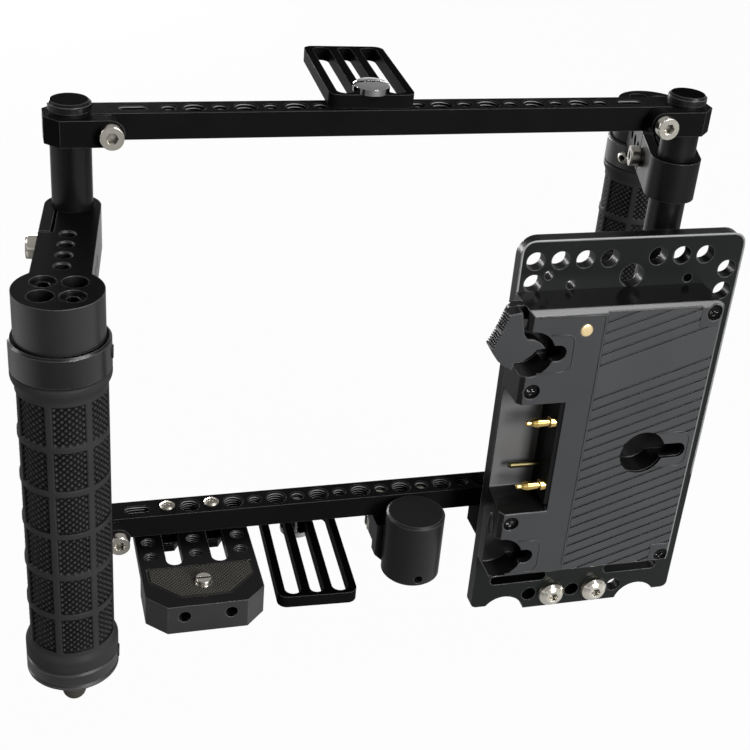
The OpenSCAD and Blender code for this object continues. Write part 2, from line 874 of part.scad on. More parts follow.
// Runs the two screw places of the base plate
module at_base_screws() {
  for (s = [-1, 1]) translate([base_x + s * hole_pitch / 2, 0, 0]) children();
}

module base_screws() {
  color(steel) at_base_screws() difference() {
    union() {
      translate([0, 0, bar_h]) rotate_extrude() polygon([
        [0, 0], [pan_d / 2, 0], [pan_d / 2, pan_edge], [pan_d / 2 - pan_edge, pan_h - pan_edge / 2],
        [pan_flat / 2, pan_h], [0, pan_h]
      ]);
      translate([0, 0, -base_tongue_t - washer_t - nut_h - nut_show])
        cylinder(d = screw_d, h = bar_h + base_tongue_t + washer_t + nut_h + nut_show + pan_h / 2);
    }
    for (a = [0, 90]) rotate([0, 0, a]) translate([-cross_l / 2, -cross_w / 2, bar_h + pan_h - pan_cross_deep])
      cube([cross_l, cross_w, pan_h]);
  }
}

module base_washers() {
  color(steel) at_base_screws() translate([0, 0, -base_tongue_t - washer_t]) difference() {
    cylinder(d = washer_d, h = washer_t);
    translate([0, 0, -cut]) cylinder(d = screw_d + 2 * fit, h = washer_t + 2 * cut);
  }
}

module base_nuts() {
  color(steel) at_base_screws() translate([0, 0, -base_tongue_t - washer_t - nut_h]) difference() {
    cylinder(d = nut_d, h = nut_h, $fn = hex_fn);
    translate([0, 0, -cut]) cylinder(d = screw_d + 2 * fit, h = nut_h + 2 * cut);
  }
}

// Stand socket: bored barrel in front of the bar on a foot screwed to the underside of the bar
module stand_socket() {
  color(black) difference() {
    union() {
      translate([socket_x, socket_y, socket_end]) rotate_extrude() polygon([
        [0, 0], [socket_d / 2 - socket_edge, 0], [socket_d / 2, socket_edge],
        [socket_d / 2, socket_l - socket_edge], [socket_d / 2 - socket_edge, socket_l], [0, socket_l]
      ]);
      translate([socket_x - foot_w / 2, foot_front, -foot_t]) cube([foot_w, foot_back - foot_front, foot_t]);
      along_y(foot_front, foot_front + web_t) polygon([
        [socket_x - foot_w / 2, -cut], [socket_x - foot_w / 2, web_bevel - web_drop],
        [socket_x - foot_w / 2 + web_bevel, -web_drop], [socket_x + foot_w / 2 - web_bevel, -web_drop],
        [socket_x + foot_w / 2, web_bevel - web_drop], [socket_x + foot_w / 2, -cut]
      ]);
    }
    translate([socket_x, socket_y, socket_end - cut]) cylinder(d = spigot_d, h = socket_l - socket_roof + cut);
    translate([socket_x, socket_y, lock_z]) rotate([90, 0, 0]) cylinder(d = lock_d, h = socket_d);
    for (k = [0.5, 1.5]) translate([k * hole_pitch, 0, -foot_t - cut]) {
      cylinder(d = clear_d, h = foot_t + 2 * cut);
      cylinder(d = bracket_head_d + 2 * bracket_head_room, h = bracket_head_h + cut);
    }
  }
}

module socket_screws() {
  color(steel) for (k = [0.5, 1.5]) translate([k * hole_pitch, 0, bracket_head_h - foot_t]) mirror([0, 0, 1])
    cap_screw(bracket_head_d, bracket_head_h, screw_d, foot_t - bracket_head_h + coin_grip);
}

// Battery bracket: foot under the bar and a web in front of the rod
module battery_bracket() {
  color(black) difference() {
    union() {
      translate([bracket_left, back_rear, -bracket_t])
        cube([bracket_right - bracket_left, foot_back - back_rear, bracket_t]);
      translate([bracket_left, back_rear, -bracket_drop])
        cube([back_x + bracket_web_reach - bracket_left, bracket_web, bracket_drop]);
    }
    for (k = [3.5, 4.5]) translate([k * hole_pitch, 0, -bracket_t - cut]) {
      cylinder(d = clear_d, h = bracket_t + 2 * cut);
      cylinder(d = bracket_head_d + 2 * bracket_head_room, h = bracket_head_h + cut);
    }
    for (s = [-1, 1]) translate([back_x + s * row_pitch, back_rear + bracket_web + cut, row_low])
      rotate([90, 0, 0]) cylinder(d = plate_bolt_d + 2 * fit, h = bracket_web + 2 * cut);
  }
}

module bracket_screws() {
  color(steel) for (k = [3.5, 4.5]) translate([k * hole_pitch, 0, bracket_head_h - bracket_t]) mirror([0, 0, 1])
    cap_screw(bracket_head_d, bracket_head_h, screw_d, bracket_t - bracket_head_h + coin_grip);
}

// Outline of the back plate: round shoulders, two feet and a tongue between two notches
module back2d() {
  difference() {
    union() {
      translate([back_left, back_low + foot_round]) square([back_w, back_h - foot_round - back_round]);
      translate([back_left + foot_round, back_low]) square([back_w - 2 * foot_round, back_h / 2]);
      translate([back_left + back_round, back_top - back_h / 2]) square([back_w - 2 * back_round, back_h / 2]);
      for (s = [-1, 1]) {
        translate([back_x + s * (back_w / 2 - back_round), back_top - back_round]) circle(r = back_round);
        translate([back_x + s * (back_w / 2 - foot_round), back_low + foot_round]) circle(r = foot_round);
      }
      translate([back_x - notch_at, back_low - tongue_drop]) square([2 * notch_at, 2 * tongue_drop]);
    }
    for (s = [-1, 1]) translate([back_x + s * notch_at, back_low + notch_rise - notch_r]) circle(r = notch_r);
  }
}

// Round holes of the back plate, each [x from the middle, z, diameter]
back_holes = concat(
  [for (k = [-4, -3, -2, -1, 1, 2, 3]) [k * row_pitch, row_top, row_d]],
  [for (k = [-2, 0, 2]) [k * row_pitch, row_low, row_d - 1]],
  [for (s = [-1, 1]) [s * row_pitch, row_low, plate_bolt_d + 0.4]],
  [
    [0.4, row_top - 8.2, centre_hole_d], [43.3, row_top - 7.1, row_d], [43.3, row_top - 17.2, row_d],
    [-42.7, row_top - 9.9, row_d], [-36.3, row_top - 6.5, pin_hole_d], [-26, row_top - 11.1, pin_hole_d],
    [26, row_top - 10.5, pin_hole_d]
  ]
);

module back_plate() {
  color(slate) difference() {
    along_y(back_front, back_rear) back2d();
    for (h = back_holes) translate([back_x + h[0], back_rear + cut, h[1]]) rotate([90, 0, 0])
      cylinder(d = h[2], h = back_t + 2 * cut);
    for (s = [-1, 1]) along_y(back_front - cut, back_rear + cut)
      translate([back_x + s * long_slot_at - long_slot_l / 2, long_slot_z]) rotate([0, 0, -90])
        translate([0, 0]) slot2d(long_slot_l, long_slot_w);
    adapter_screw_places() translate([0, back_front + sunk_grip, 0]) rotate([90, 0, 0])
      cylinder(d = screw_m + 2 * fit, h = sunk_grip + cut);
  }
}

module plate_bolts() {
  color(steel) for (s = [-1, 1]) translate([back_x + s * row_pitch, back_front, row_low]) rotate([90, 0, 0])
    button_screw(plate_bolt_head, plate_bolt_h, plate_bolt_rim, plate_bolt_d, back_t + bracket_web - 1);
}

// Runs the four screw places of the adapter
module adapter_screw_places() {
  translate([adapter_left + 5.4, 0, stud_mid + 33.5]) children();
  translate([adapter_left + 5.4, 0, stud_mid - 32.5]) children();
  translate([adapter_right - 4.8, 0, adapter_low + 4.4]) children();
  translate([adapter_right - 4.8, 0, adapter_top - 4.8]) children();
}

// Keyhole towards +X: a round mouth, a narrow slot and the wider channel behind the slot
module keyhole(x, z, reach) {
  translate([x, adapter_front + key_deep_t, z]) rotate([90, 0, 0]) cylinder(d = keyhole_d, h = key_deep_t + cut);
  along_y(adapter_front - cut, adapter_front + key_deep_t) translate([x, z]) rotate([0, 0, -90])
    slot2d(reach, key_slot_w);
  along_y(adapter_front + key_wall, adapter_front + key_deep_t) translate([x, z - key_channel_w / 2])
    square([reach, key_channel_w]);
}

// The three keyholes, two of them open to the side of the adapter
module keyholes() {
  for (s = [-1, 1]) {
    keyhole(side_key_x, stud_mid + s * stud_rise / 2, side_key_reach);
    translate([adapter_left - keyhole_d, adapter_front - cut, stud_mid + s * stud_rise / 2 - keyhole_d / 2])
      cube([side_key_x - adapter_left + keyhole_d, key_deep_t + cut, keyhole_d]);
  }
  keyhole(right_key_x, stud_mid - 1, right_key_reach);
}

// Outline of the housing, round at its two right corners
module housing2d() {
  translate([adapter_left - cut, adapter_low - cut]) square([adapter_w - adapter_round + cut, adapter_h + 2 * cut]);
  translate([adapter_left, adapter_low + adapter_round]) square([adapter_w + cut, adapter_h - 2 * adapter_round]);
  for (z = [adapter_low + adapter_round, adapter_top - adapter_round])
    translate([adapter_right - adapter_round, z]) circle(r = adapter_round);
}

// Moulded housing: bevelled front, keyholes, terminal recess, seat of the ribbed panel, lever lug
module adapter_housing() {
  color(plastic) difference() {
    union() {
      difference() {
        intersection() {
          translate([0, 0, adapter_low]) linear_extrude(adapter_h) polygon([
            [adapter_left, back_front], [adapter_left, adapter_front + adapter_bevel],
            [adapter_left + adapter_bevel, adapter_front], [adapter_right - adapter_bevel, adapter_front],
            [adapter_right, adapter_front + adapter_bevel], [adapter_right, back_front]
          ]);
          along_y(adapter_front - cut, back_front + cut) housing2d();
        }
        along_x(adapter_left - cut, adapter_right + cut) polygon([
          [adapter_front - cut, adapter_top - adapter_bevel - cut], [adapter_front - cut, adapter_top + cut],
          [adapter_front + adapter_bevel + cut, adapter_top + cut]
        ]);
        along_x(adapter_left - cut, adapter_right + cut) polygon([
          [adapter_front - cut, adapter_low + adapter_bevel + cut], [adapter_front - cut, adapter_low - cut],
          [adapter_front + adapter_bevel + cut, adapter_low - cut]
        ]);
        keyholes();
      }
      lever_lug(lever_back + lug_gap);
    }
    along_x(adapter_left - cut, adapter_left + recess_w) polygon([
      [adapter_front - cut, recess_low], [adapter_front, recess_low],
      [adapter_front + recess_deep, recess_low + recess_ramp], [adapter_front + recess_deep, recess_high],
      [adapter_front - cut, recess_high]
    ]);
    along_y(adapter_front - cut, adapter_front + panel_t) panel2d(panel_gap);
    adapter_screw_places() translate([0, back_front + cut, 0]) rotate([90, 0, 0]) {
      cylinder(d = screw_m + 4 * fit, h = adapter_t + 2 * cut);
      translate([0, 0, adapter_t + cut - sunk_deep]) cylinder(d = sunk_d + 0.4, h = sunk_deep + cut);
    }
    translate([adapter_left + dot_in, adapter_front + dot_t - dot_rise, adapter_top - dot_down])
      rotate([90, 0, 0]) cylinder(d = dot_d + 2 * fit, h = dot_t + cut);
    translate([pivot_x, adapter_front + adapter_t, pivot_z]) rotate([90, 0, 0])
      cylinder(d = pivot_d + 2 * fit, h = adapter_t + cut);
  }
}

// Lug of the housing behind the lever that carries its pivot, from y0 backwards
module lever_lug(y0) {
  translate([pivot_x, y0 + lug_t, pivot_z]) rotate([90, 0, 0]) cylinder(r = lug_r, h = lug_t);
  translate([pivot_x, y0, pivot_z - lug_r]) cube([adapter_left - pivot_x + cut, lug_t, 2 * lug_r]);
}

// Outline of the ribbed panel, notched at the two corners that hold a screw
module panel2d(grow) {
  polygon([
    [panel_left - grow, panel_low - grow], [panel_right - panel_notch + grow, panel_low - grow],
    [panel_right - panel_notch + grow, panel_low + panel_notch - grow],
    [panel_right + grow, panel_low + panel_notch - grow], [panel_right + grow, panel_high - panel_notch + grow],
    [panel_right - panel_notch + grow, panel_high - panel_notch + grow],
    [panel_right - panel_notch + grow, panel_high + grow], [panel_left - grow, panel_high + grow]
  ]);
}

// Ribbed panel inlaid in the front of the housing, plain round the keyhole
module rib_panel() {
  color(plastic) difference() {
    along_y(adapter_front, adapter_front + panel_t) panel2d(0);
    keyholes();
    difference() {
      union() {
        for (k = [0 : groove_upper_n - 1]) groove(groove_upper_z + k * groove_step);
        for (k = [0 : groove_lower_n - 1]) groove(groove_lower_z - k * groove_step);
      }
      along_y(adapter_front - 2 * cut, adapter_front + panel_t) label2d();
    }
  }
}

// One slanted groove that starts at height z on the left edge of the panel
module groove(z) {
  translate([panel_left - cut, adapter_front - cut, z]) rotate([0, -groove_turn, 0])
    translate([-groove_w, 0, 0]) cube([adapter_w, groove_deep + cut, groove_w]);
}

// Plain field round the right keyhole
module label2d() {
  translate([panel_right - label_w, stud_mid - 1 - label_h / 2 + label_round])
    square([label_w + cut, label_h - 2 * label_round]);
  translate([panel_right - label_w + label_round, stud_mid - 1 - label_h / 2])
    square([label_w - label_round + cut, label_h]);
  for (s = [-1, 1]) translate([panel_right - label_w + label_round, stud_mid - 1 + s * (label_h / 2 - label_round)])
    circle(r = label_round);
}

module adapter_screws() {
  color(black) adapter_screw_places() translate([0, adapter_front + sunk_deep, 0]) rotate([90, 0, 0])
    difference() {
    union() {
      cylinder(d = sunk_d, h = sunk_h);
      translate([0, 0, sunk_deep - adapter_t - sunk_grip + 0.3])
        cylinder(d = screw_m, h = adapter_t - sunk_deep + sunk_grip);
    }
    for (a = [0, 90]) rotate([0, 0, a]) translate([-cross_l / 2, -cross_w / 2, sunk_h - cross_deep])
      cube([cross_l, cross_w, sunk_h]);
  }
}

// Block on the inner wall of the terminal recess that carries the pins
module contact_block() {
  color(black) difference() {
    along_x(adapter_left + recess_w - contact_w, adapter_left + recess_w - contact_gap) polygon([
      [contact_front, recess_low + recess_ramp],
      [adapter_front + recess_deep - contact_gap, recess_low + recess_ramp + contact_gap],
      [adapter_front + recess_deep - contact_gap, recess_high - contact_gap],
      [contact_front, recess_high - contact_gap]
    ]);
    for (s = [-1, 1]) pin_place(pin_y, pin_lift + s * pin_rise) cylinder(d = pin_d + 2 * fit, h = pin_root + cut);
    pin_place(sense_y, -sense_drop) cylinder(d = sense_d + 2 * fit, h = pin_root + cut);
  }
}

// Root of a pin at depth y and height z from the middle of the recess, z axis of the children into the block
module pin_place(y, z) {
  translate([adapter_left + recess_w - contact_w, y, stud_mid + z]) rotate([0, 90, 0])
    translate([0, 0, -cut]) children();
}

// Power pin: a nub, a barrel, a neck and a collar against the block, its root sunk in it
module power_pin() {
  translate([0, 0, cut - pin_l]) rotate_extrude() polygon([
    [0, 0], [pin_nub_d / 2 - 0.4, 0], [pin_nub_d / 2, 0.6], [pin_nub_d / 2, pin_nub_l],
    [pin_d / 2 - 0.4, pin_nub_l + 1], [pin_d / 2, pin_nub_l + 3],
    [pin_d / 2 - 0.3, pin_l - pin_collar_l - pin_neck_l],
    [pin_nub_d / 2 + 0.4, pin_l - pin_collar_l - pin_neck_l], [pin_nub_d / 2 + 0.4, pin_l - pin_collar_l],
    [pin_collar_d / 2, pin_l - pin_collar_l], [pin_collar_d / 2, pin_l],
    [pin_d / 2, pin_l], [pin_d / 2, pin_l + pin_root], [0, pin_l + pin_root]
  ]);
}

module contact_pins() {
  color(gilt) for (s = [-1, 1]) pin_place(pin_y, pin_lift + s * pin_rise) power_pin();
}

// Plain pin low in the recess, with a rounded tip
module sense_pin() {
  color(gilt) pin_place(sense_y, -sense_drop) translate([0, 0, cut - sense_l]) rotate_extrude() polygon([
    [0, 0], [sense_d / 2 - pin_tip / 2, 0], [sense_d / 2, pin_tip], [sense_d / 2, sense_l + pin_root],
    [0, sense_l + pin_root]
  ]);
}

module gilt_dot() {
  color(gilt) translate([adapter_left + dot_in, adapter_front + dot_t - dot_rise, adapter_top - dot_down])
    rotate([90, 0, 0]) cylinder(d = dot_d, h = dot_t);
}

// Release lever: hook-shaped plate with a blind bore for the pivot and a toothed thumb edge
module release_lever() {
  color(plastic) translate([pivot_x, 0, pivot_z]) difference() {
    along_y(lever_front, lever_back) polygon(lever_pts);
    translate([0, lever_back + cut, 0]) rotate([90, 0, 0])
      cylinder(d = pivot_d + 2 * fit, h = lever_t - lever_skin + cut);
    along_y(lever_front - cut, lever_back + cut) for (i = [0, 1], k = [1 : tooth_n])
      translate(thumb[i] + (thumb[i + 1] - thumb[i]) * k / (tooth_n + 1))
        rotate(atan2(thumb[i + 1][1] - thumb[i][1], thumb[i + 1][0] - thumb[i][0]))
          translate([-tooth_w / 2, -tooth_deep]) square([tooth_w, 2 * tooth_deep]);
  }
}

module lever_pivot() {
  color(black) translate([pivot_x, lever_back + lug_gap + lug_t, pivot_z]) rotate([90, 0, 0])
    cylinder(d = pivot_d, h = lug_t + lever_t - lever_skin);
}

rod_left();
rod_right();
rod_caps_top();
rod_caps_bottom();
top_bar();
top_clamp_screws();
bottom_bar();
bottom_clamp_screws();
left_arm();
left_clamp_screw();
left_disc_bolts();
left_core();
left_grip();
left_upper_ring();
left_lower_ring();
left_ring_screws();
left_end_plug();
left_end_bolt();
right_arm();
right_clamp_screw();
right_disc_bolts();
right_core();
right_grip();
right_upper_ring();
right_lower_ring();
right_ring_screws();
right_end_plug();
right_end_bolt();
top_plate();
top_plate_screw();
bottom_plate();
bottom_plate_screw();
base_plate();
base_pad();
camera_screw();
base_screws();
base_washers();
base_nuts();
stand_socket();
socket_screws();
battery_bracket();
bracket_screws();
back_plate();
plate_bolts();
adapter_housing();
rib_panel();
adapter_screws();
contact_block();
contact_pins();
sense_pin();
gilt_dot();
release_lever();
lever_pivot();
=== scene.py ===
"""Monitor cage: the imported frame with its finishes, the moulded grips, the knurled pad, threads and trim.

Lengths are metres in the frame of the CAD model: X along the bars, front towards -Y, Z up.
"""
import json
import math

import bpy
import numpy as np
from mathutils import Matrix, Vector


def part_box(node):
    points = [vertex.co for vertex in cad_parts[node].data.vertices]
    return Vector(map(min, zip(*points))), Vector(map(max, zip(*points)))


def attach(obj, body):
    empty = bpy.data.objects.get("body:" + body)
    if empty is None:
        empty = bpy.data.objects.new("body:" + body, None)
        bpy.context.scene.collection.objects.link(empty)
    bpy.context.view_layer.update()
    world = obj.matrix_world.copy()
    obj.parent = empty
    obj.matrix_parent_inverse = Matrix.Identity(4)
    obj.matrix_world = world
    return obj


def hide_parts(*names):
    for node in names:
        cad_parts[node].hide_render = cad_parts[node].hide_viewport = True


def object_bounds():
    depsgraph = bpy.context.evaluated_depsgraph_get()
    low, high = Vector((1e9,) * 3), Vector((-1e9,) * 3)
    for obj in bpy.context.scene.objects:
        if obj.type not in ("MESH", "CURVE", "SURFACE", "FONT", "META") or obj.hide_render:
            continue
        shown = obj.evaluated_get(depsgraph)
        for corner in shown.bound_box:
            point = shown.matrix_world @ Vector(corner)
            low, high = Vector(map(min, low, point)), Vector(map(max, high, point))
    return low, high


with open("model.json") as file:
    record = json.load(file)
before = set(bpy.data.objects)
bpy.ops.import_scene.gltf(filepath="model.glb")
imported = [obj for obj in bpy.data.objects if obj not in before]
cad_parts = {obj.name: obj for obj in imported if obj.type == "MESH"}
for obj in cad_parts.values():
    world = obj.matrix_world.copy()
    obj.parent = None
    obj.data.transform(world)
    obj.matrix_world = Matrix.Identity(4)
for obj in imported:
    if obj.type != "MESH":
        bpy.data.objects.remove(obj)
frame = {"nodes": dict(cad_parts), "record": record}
CAD_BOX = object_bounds()
MM = 0.001
TAU = 2 * math.pi


# Places read from the frame

def extent(node):
    """Lowest and highest corner of a node's box."""
    low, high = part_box(node)
    return np.array(low), np.array(high)


def middle(node):
    """Middle of a node's box, and its lowest and highest z."""
    low, high = extent(node)
    return (low + high) / 2, low[2], high[2]


def lowest_slide():
    """The lowest place of the sliding frame, against its place at rest."""
    joints = {row["name"]: row for row in frame["record"]["behaviour"]["joints"]}
    return joints["frame_slide"]["range_m"][0]


ADAPTER_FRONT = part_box("rib_panel")[0][1]
HOLE_PITCH = 19.05 * MM
# Turn of each arm from the front-to-back line, in degrees
ARM_TURN = {"left": 8, "right": 17}


# Shader arithmetic

class Wire:
    """A value socket of a node tree; arithmetic on it adds Math nodes."""

    def __init__(self, finish, socket):
        self.finish = finish
        self.socket = socket

    def _math(self, operation, *values, clamp=False):
        settings = {"operation": operation, "use_clamp": clamp}
        return self.finish.node("ShaderNodeMath", settings, dict(enumerate(values)))

    def __add__(self, other):
        return self._math("ADD", self, other)

    __radd__ = __add__

    def __sub__(self, other):
        return self._math("SUBTRACT", self, other)

    def __rsub__(self, other):
        return self._math("SUBTRACT", other, self)

    def __mul__(self, other):
        return self._math("MULTIPLY", self, other)

    __rmul__ = __mul__

    def __truediv__(self, other):
        return self._math("DIVIDE", self, other)

    def __rtruediv__(self, other):
        return self._math("DIVIDE", other, self)

    def clip(self):
        """The value held between 0 and 1."""
        return self._math("ADD", self, 0.0, clamp=True)

    def sine(self):
        """Sine of the value."""
        return self._math("SINE", self)

    def most(self, other):
        """The greater of two values."""
        return self._math("MAXIMUM", self, other)


# Sockets of a Mix node that is set to colours
MIX_FIRST = 6
MIX_SECOND = 7
MIX_RESULT = 2
# Gain and start of the mask that finds edges
EDGE_GAIN = 9
EDGE_START = 0.12
BEVEL_SAMPLES = 4
SUNK_SAMPLES = 8


class Finish:
    """The node tree of a material or world under construction; node() adds any node to it."""

    def __init__(self, name, kind="materials"):
        self.owner = getattr(bpy.data, kind).new(name)
        self.owner.use_nodes = True
        self.tree = self.owner.node_tree
        self.tree.nodes.clear()

    def node(self, kind, settings=None, sockets=None, out=0):
        """Adds a node: first its settings, then the values or links of its sockets; gives one output."""
        made = self.tree.nodes.new(kind)
        for key, value in (settings or {}).items():
            setattr(made, key, value)
        for key, value in (sockets or {}).items():
            if isinstance(value, Wire):
                self.tree.links.new(value.socket, made.inputs[key])
            else:
                made.inputs[key].default_value = value
        return Wire(self, made.outputs[out]) if len(made.outputs) else None

    def part(self, vector, index):
        """X, Y or Z of a vector as a value."""
        return self.node("ShaderNodeSeparateXYZ", sockets={0: vector}, out=index)

    def place(self):
        """Object coordinates, in metres."""
        return self.node("ShaderNodeTexCoord", out="Object")

    def axis(self, index):
        """One of the object coordinates as a value."""
        return self.part(self.place(), index)

    def facing(self, index):
        """X, Y or Z of the surface's own normal, in object space."""
        return self.part(self.node("ShaderNodeTexCoord", out="Normal"), index)

    def lids(self):
        """1 on faces turned up, 0 past about 48 degrees from there."""
        return (3 * self.facing(2) - 2).clip()

    def walls(self):
        """1 on upright faces, 0 past about 35 degrees from upright."""
        upright = self.facing(2)
        return (1 - 3 * upright * upright).clip()

    def fronts(self):
        """1 on faces within about 18 degrees of the front, 0 past 34 degrees."""
        return (-8 * self.facing(1) - 6.6).clip()

    def noise(self, scale, detail=3.0, stretch=(1, 1, 1)):
        """Noise between 0 and 1 on object coordinates, stretched per axis."""
        where = self.node("ShaderNodeMapping", sockets={"Vector": self.place(), "Scale": stretch})
        return self.node("ShaderNodeTexNoise", sockets={"Vector": where, "Scale": scale, "Detail": detail})

    def mix(self, factor, first, second):
        """Colour between two colours."""
        sockets = {0: factor, MIX_FIRST: first, MIX_SECOND: second}
        return self.node("ShaderNodeMix", {"data_type": "RGBA"}, sockets, out=MIX_RESULT)

    def rounded(self, radius):
        """The surface's normal, rounded over its edges by a radius."""
        return self.node("ShaderNodeBevel", {"samples": BEVEL_SAMPLES}, {"Radius": radius})

    def edge(self, rounded):
        """1 along convex and concave edges, 0 on the faces: where a rounded normal leaves the true one."""
        flat = self.node("ShaderNodeNewGeometry", out="Normal")
        settings = {"operation": "DOT_PRODUCT"}
        agree = self.node("ShaderNodeVectorMath", settings, {0: rounded, 1: flat}, out="Value")
        return ((1 - agree) * EDGE_GAIN - EDGE_START).clip()

    def sunk(self, reach):
        """0 in the open, towards 1 where the piece's own walls close in within a reach."""
        settings = {"samples": SUNK_SAMPLES, "only_local": True}
        return 1 - self.node("ShaderNodeAmbientOcclusion", settings, {"Distance": reach}, out="AO")

    def seen(self, mirrored):
        """1 to the camera, and a share to what mirrors or lets through."""
        path = "ShaderNodeLightPath"
        glossy = self.node(path, out="Is Glossy Ray").most(self.node(path, out="Is Transmission Ray"))
        return self.node(path, out="Is Camera Ray").most(glossy * mirrored)

    def bump(self, height, strength, distance, normal=None):
        """Normal tilted by a height, over a given normal where there is one."""
        sockets = {"Height": height, "Strength": strength, "Distance": distance}
        if normal is not None:
            sockets["Normal"] = normal
        return self.node("ShaderNodeBump", sockets=sockets)

    def shader(self, **sockets):
        """A Principled shader; socket names use _ for blanks."""
        named = {key.replace("_", " "): value for key, value in sockets.items()}
        return self.node("ShaderNodeBsdfPrincipled", sockets=named)

    def blend(self, factor, first, second):
        """Shader between two shaders."""
        return self.node("ShaderNodeMixShader", sockets={0: factor, 1: first, 2: second})

    def close(self, surface):
        """Ends the material in a shader."""
        self.node("ShaderNodeOutputMaterial", sockets={"Surface": surface})
        return self.owner

    def done(self, **sockets):
        """Closes the material with one Principled shader."""
        return self.close(self.shader(**sockets))


def grey(level, warm=0.0):
    """An RGBA grey, warmed by a small share."""
    return (level * (1 + warm), level, level * (1 - warm), 1.0)


def varied(value, *noises):
    """A value moved up and down by noises, each by its share."""
    for share, noise in noises:
        value = value + share * (noise - 0.5)
    return value


# Finishes: level is a black's own tone, pale that of its edges (wear and painted highlight), and gloss the
# strength of its mirror

FINE = 2.0
GRAIN = 2600
MOTTLE = 45
MOTTLE_DARK = 0.7
MOTTLE_PALE = 1.4
# Share of the pale edge colour, for wear and painted highlight
EDGE_WEAR_AND_HIGHLIGHT = 0.6
LID_ROUGHER = 0.30


def blasted(f, level):
    """Fine grain, faint mottling and mottled black of anodised aluminium, on a finish under construction."""
    grain = f.noise(GRAIN)
    mottle = f.noise(MOTTLE)
    return grain, mottle, f.mix(mottle, grey(level * MOTTLE_DARK), grey(level * MOTTLE_PALE))


def anodised(name, level, rough, gloss, pale, shaded_lid_share=0.16, lid_gloss=0.03):
    """Black anodised aluminium: fine blasted grain, faint mottling, pale edges (broken edges and painted
    highlight), duller lids painted darker as shade.
    """
    f = Finish(name)
    grain, mottle, body = blasted(f, level)
    rounded = f.rounded(radius=0.45 * MM)
    # Pale edges: wear and painted highlight
    wear_and_highlight = f.edge(rounded) * EDGE_WEAR_AND_HIGHLIGHT
    wall = f.mix(wear_and_highlight, body, grey(pale))
    # Lids painted darker than the walls, as shade
    top = f.mix(wear_and_highlight, grey(level * shaded_lid_share), grey(pale))
    roughness = varied(rough, (0.10, mottle), (0.06, grain))
    normal = f.bump(grain, strength=0.10, distance=0.05 * MM, normal=rounded)
    satin = f.shader(Base_Color=wall, Roughness=roughness, Specular_IOR_Level=gloss, Normal=normal)
    duller = roughness + LID_ROUGHER
    dull = f.shader(Base_Color=top, Roughness=duller, Specular_IOR_Level=lid_gloss, Normal=normal)
    return f.close(f.blend(f.lids(), satin, dull))


THREAD_PITCH = 1.25 * MM
THREAD_DEPTH = 0.5 * MM
THREAD_SHINE = 0.08
CREST_GAIN = 1.6


def threaded(name, level, rough, gloss, radius, bores, paint):
    """Anodised aluminium whose bores carry a thread: a sine wave along z on the walls that bores marks.

    paint gives the colour from the body, the pale edges (wear and painted highlight), the bores and the
    wave; from these it paints shade and glints.
    """
    f = Finish(name)
    grain, mottle, body = blasted(f, level)
    rounded = f.rounded(radius)
    bore = bores(f)
    wave = (f.axis(2) * (TAU / THREAD_PITCH)).sine() * bore
    colour = paint(f, body, f.edge(rounded) * EDGE_WEAR_AND_HIGHLIGHT, bore, wave)
    roughness = varied(rough, (0.10, mottle)) - THREAD_SHINE * bore
    normal = f.bump(wave * 0.5 + grain * 0.04, strength=0.9, distance=THREAD_DEPTH, normal=rounded)
    return f.done(Base_Color=colour, Roughness=roughness, Specular_IOR_Level=gloss, Normal=normal)


BAR_BORE_REACH = 4.4 * MM
BAR_BORE_FADE = 6
BAR_EDGE = 0.16
# Colour of the glints painted on thread crests
BAR_GLINT = 0.32


def bar_bores(f):
    """1 on upright walls within a reach of the bar's middle line."""
    off_line = f.axis(1) / BAR_BORE_REACH
    return (BAR_BORE_FADE - BAR_BORE_FADE * off_line * off_line).clip() * f.walls()


def bar_paint(f, body, wear_and_highlight, bore, wave):
    """Pale edges (wear and painted highlight), and thread crests painted bright as glints on the walls that
    look to the front.
    """
    # Painted highlight: glints on the thread crests of walls that look to the front
    lit_crest = (wave * CREST_GAIN - 0.5).clip() * (0.25 - f.facing(1)).clip()
    return f.mix(lit_crest, f.mix(wear_and_highlight, body, grey(BAR_EDGE)), grey(BAR_GLINT))


BASE_ROW_FADE = 4
BASE_EDGE = 0.20
# Black painted as shade on the base plate's top and in its bores
BASE_SHADE = 0.0011
BORES_BEHIND_PAD = 2.2 * MM


def base_bores(f):
    """1 on upright walls near the rows of bores, which stand on the hole pitch along x, behind the pad."""
    off_row = f.axis(0) - middle("base_plate")[0][0]
    near = (off_row * (TAU / HOLE_PITCH) + TAU / 4).sine() * BASE_ROW_FADE
    behind = (f.axis(1) - (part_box("base_pad")[1][1] + BORES_BEHIND_PAD)) / MM
    return near.clip() * f.walls() * behind.clip()


def base_paint(f, body, wear_and_highlight, bore, wave):
    """Top and bores painted black as shade, pale edges (wear and painted highlight) and crests painted as
    glints.
    """
    # Painted shade on the top and in the bores, then painted highlight on edges and crests
    body = f.mix(f.lids().most(bore), body, grey(BASE_SHADE))
    return f.mix(wear_and_highlight.most((wave * CREST_GAIN - 0.6).clip()), body, grey(BASE_EDGE))


STAIN_SHARE = 0.6
STAIN_LEAST = 0.15
# Colours of the highlights painted on turned edges, for metal and for paint, then of the painted shade in
# sockets and slots, and its reach
METAL_EDGE_HIGHLIGHT = grey(0.80)
PAINT_EDGE_HIGHLIGHT = grey(0.12)
SHADE_BLACK = grey(0.01)
SHADE_REACH = 2.2 * MM


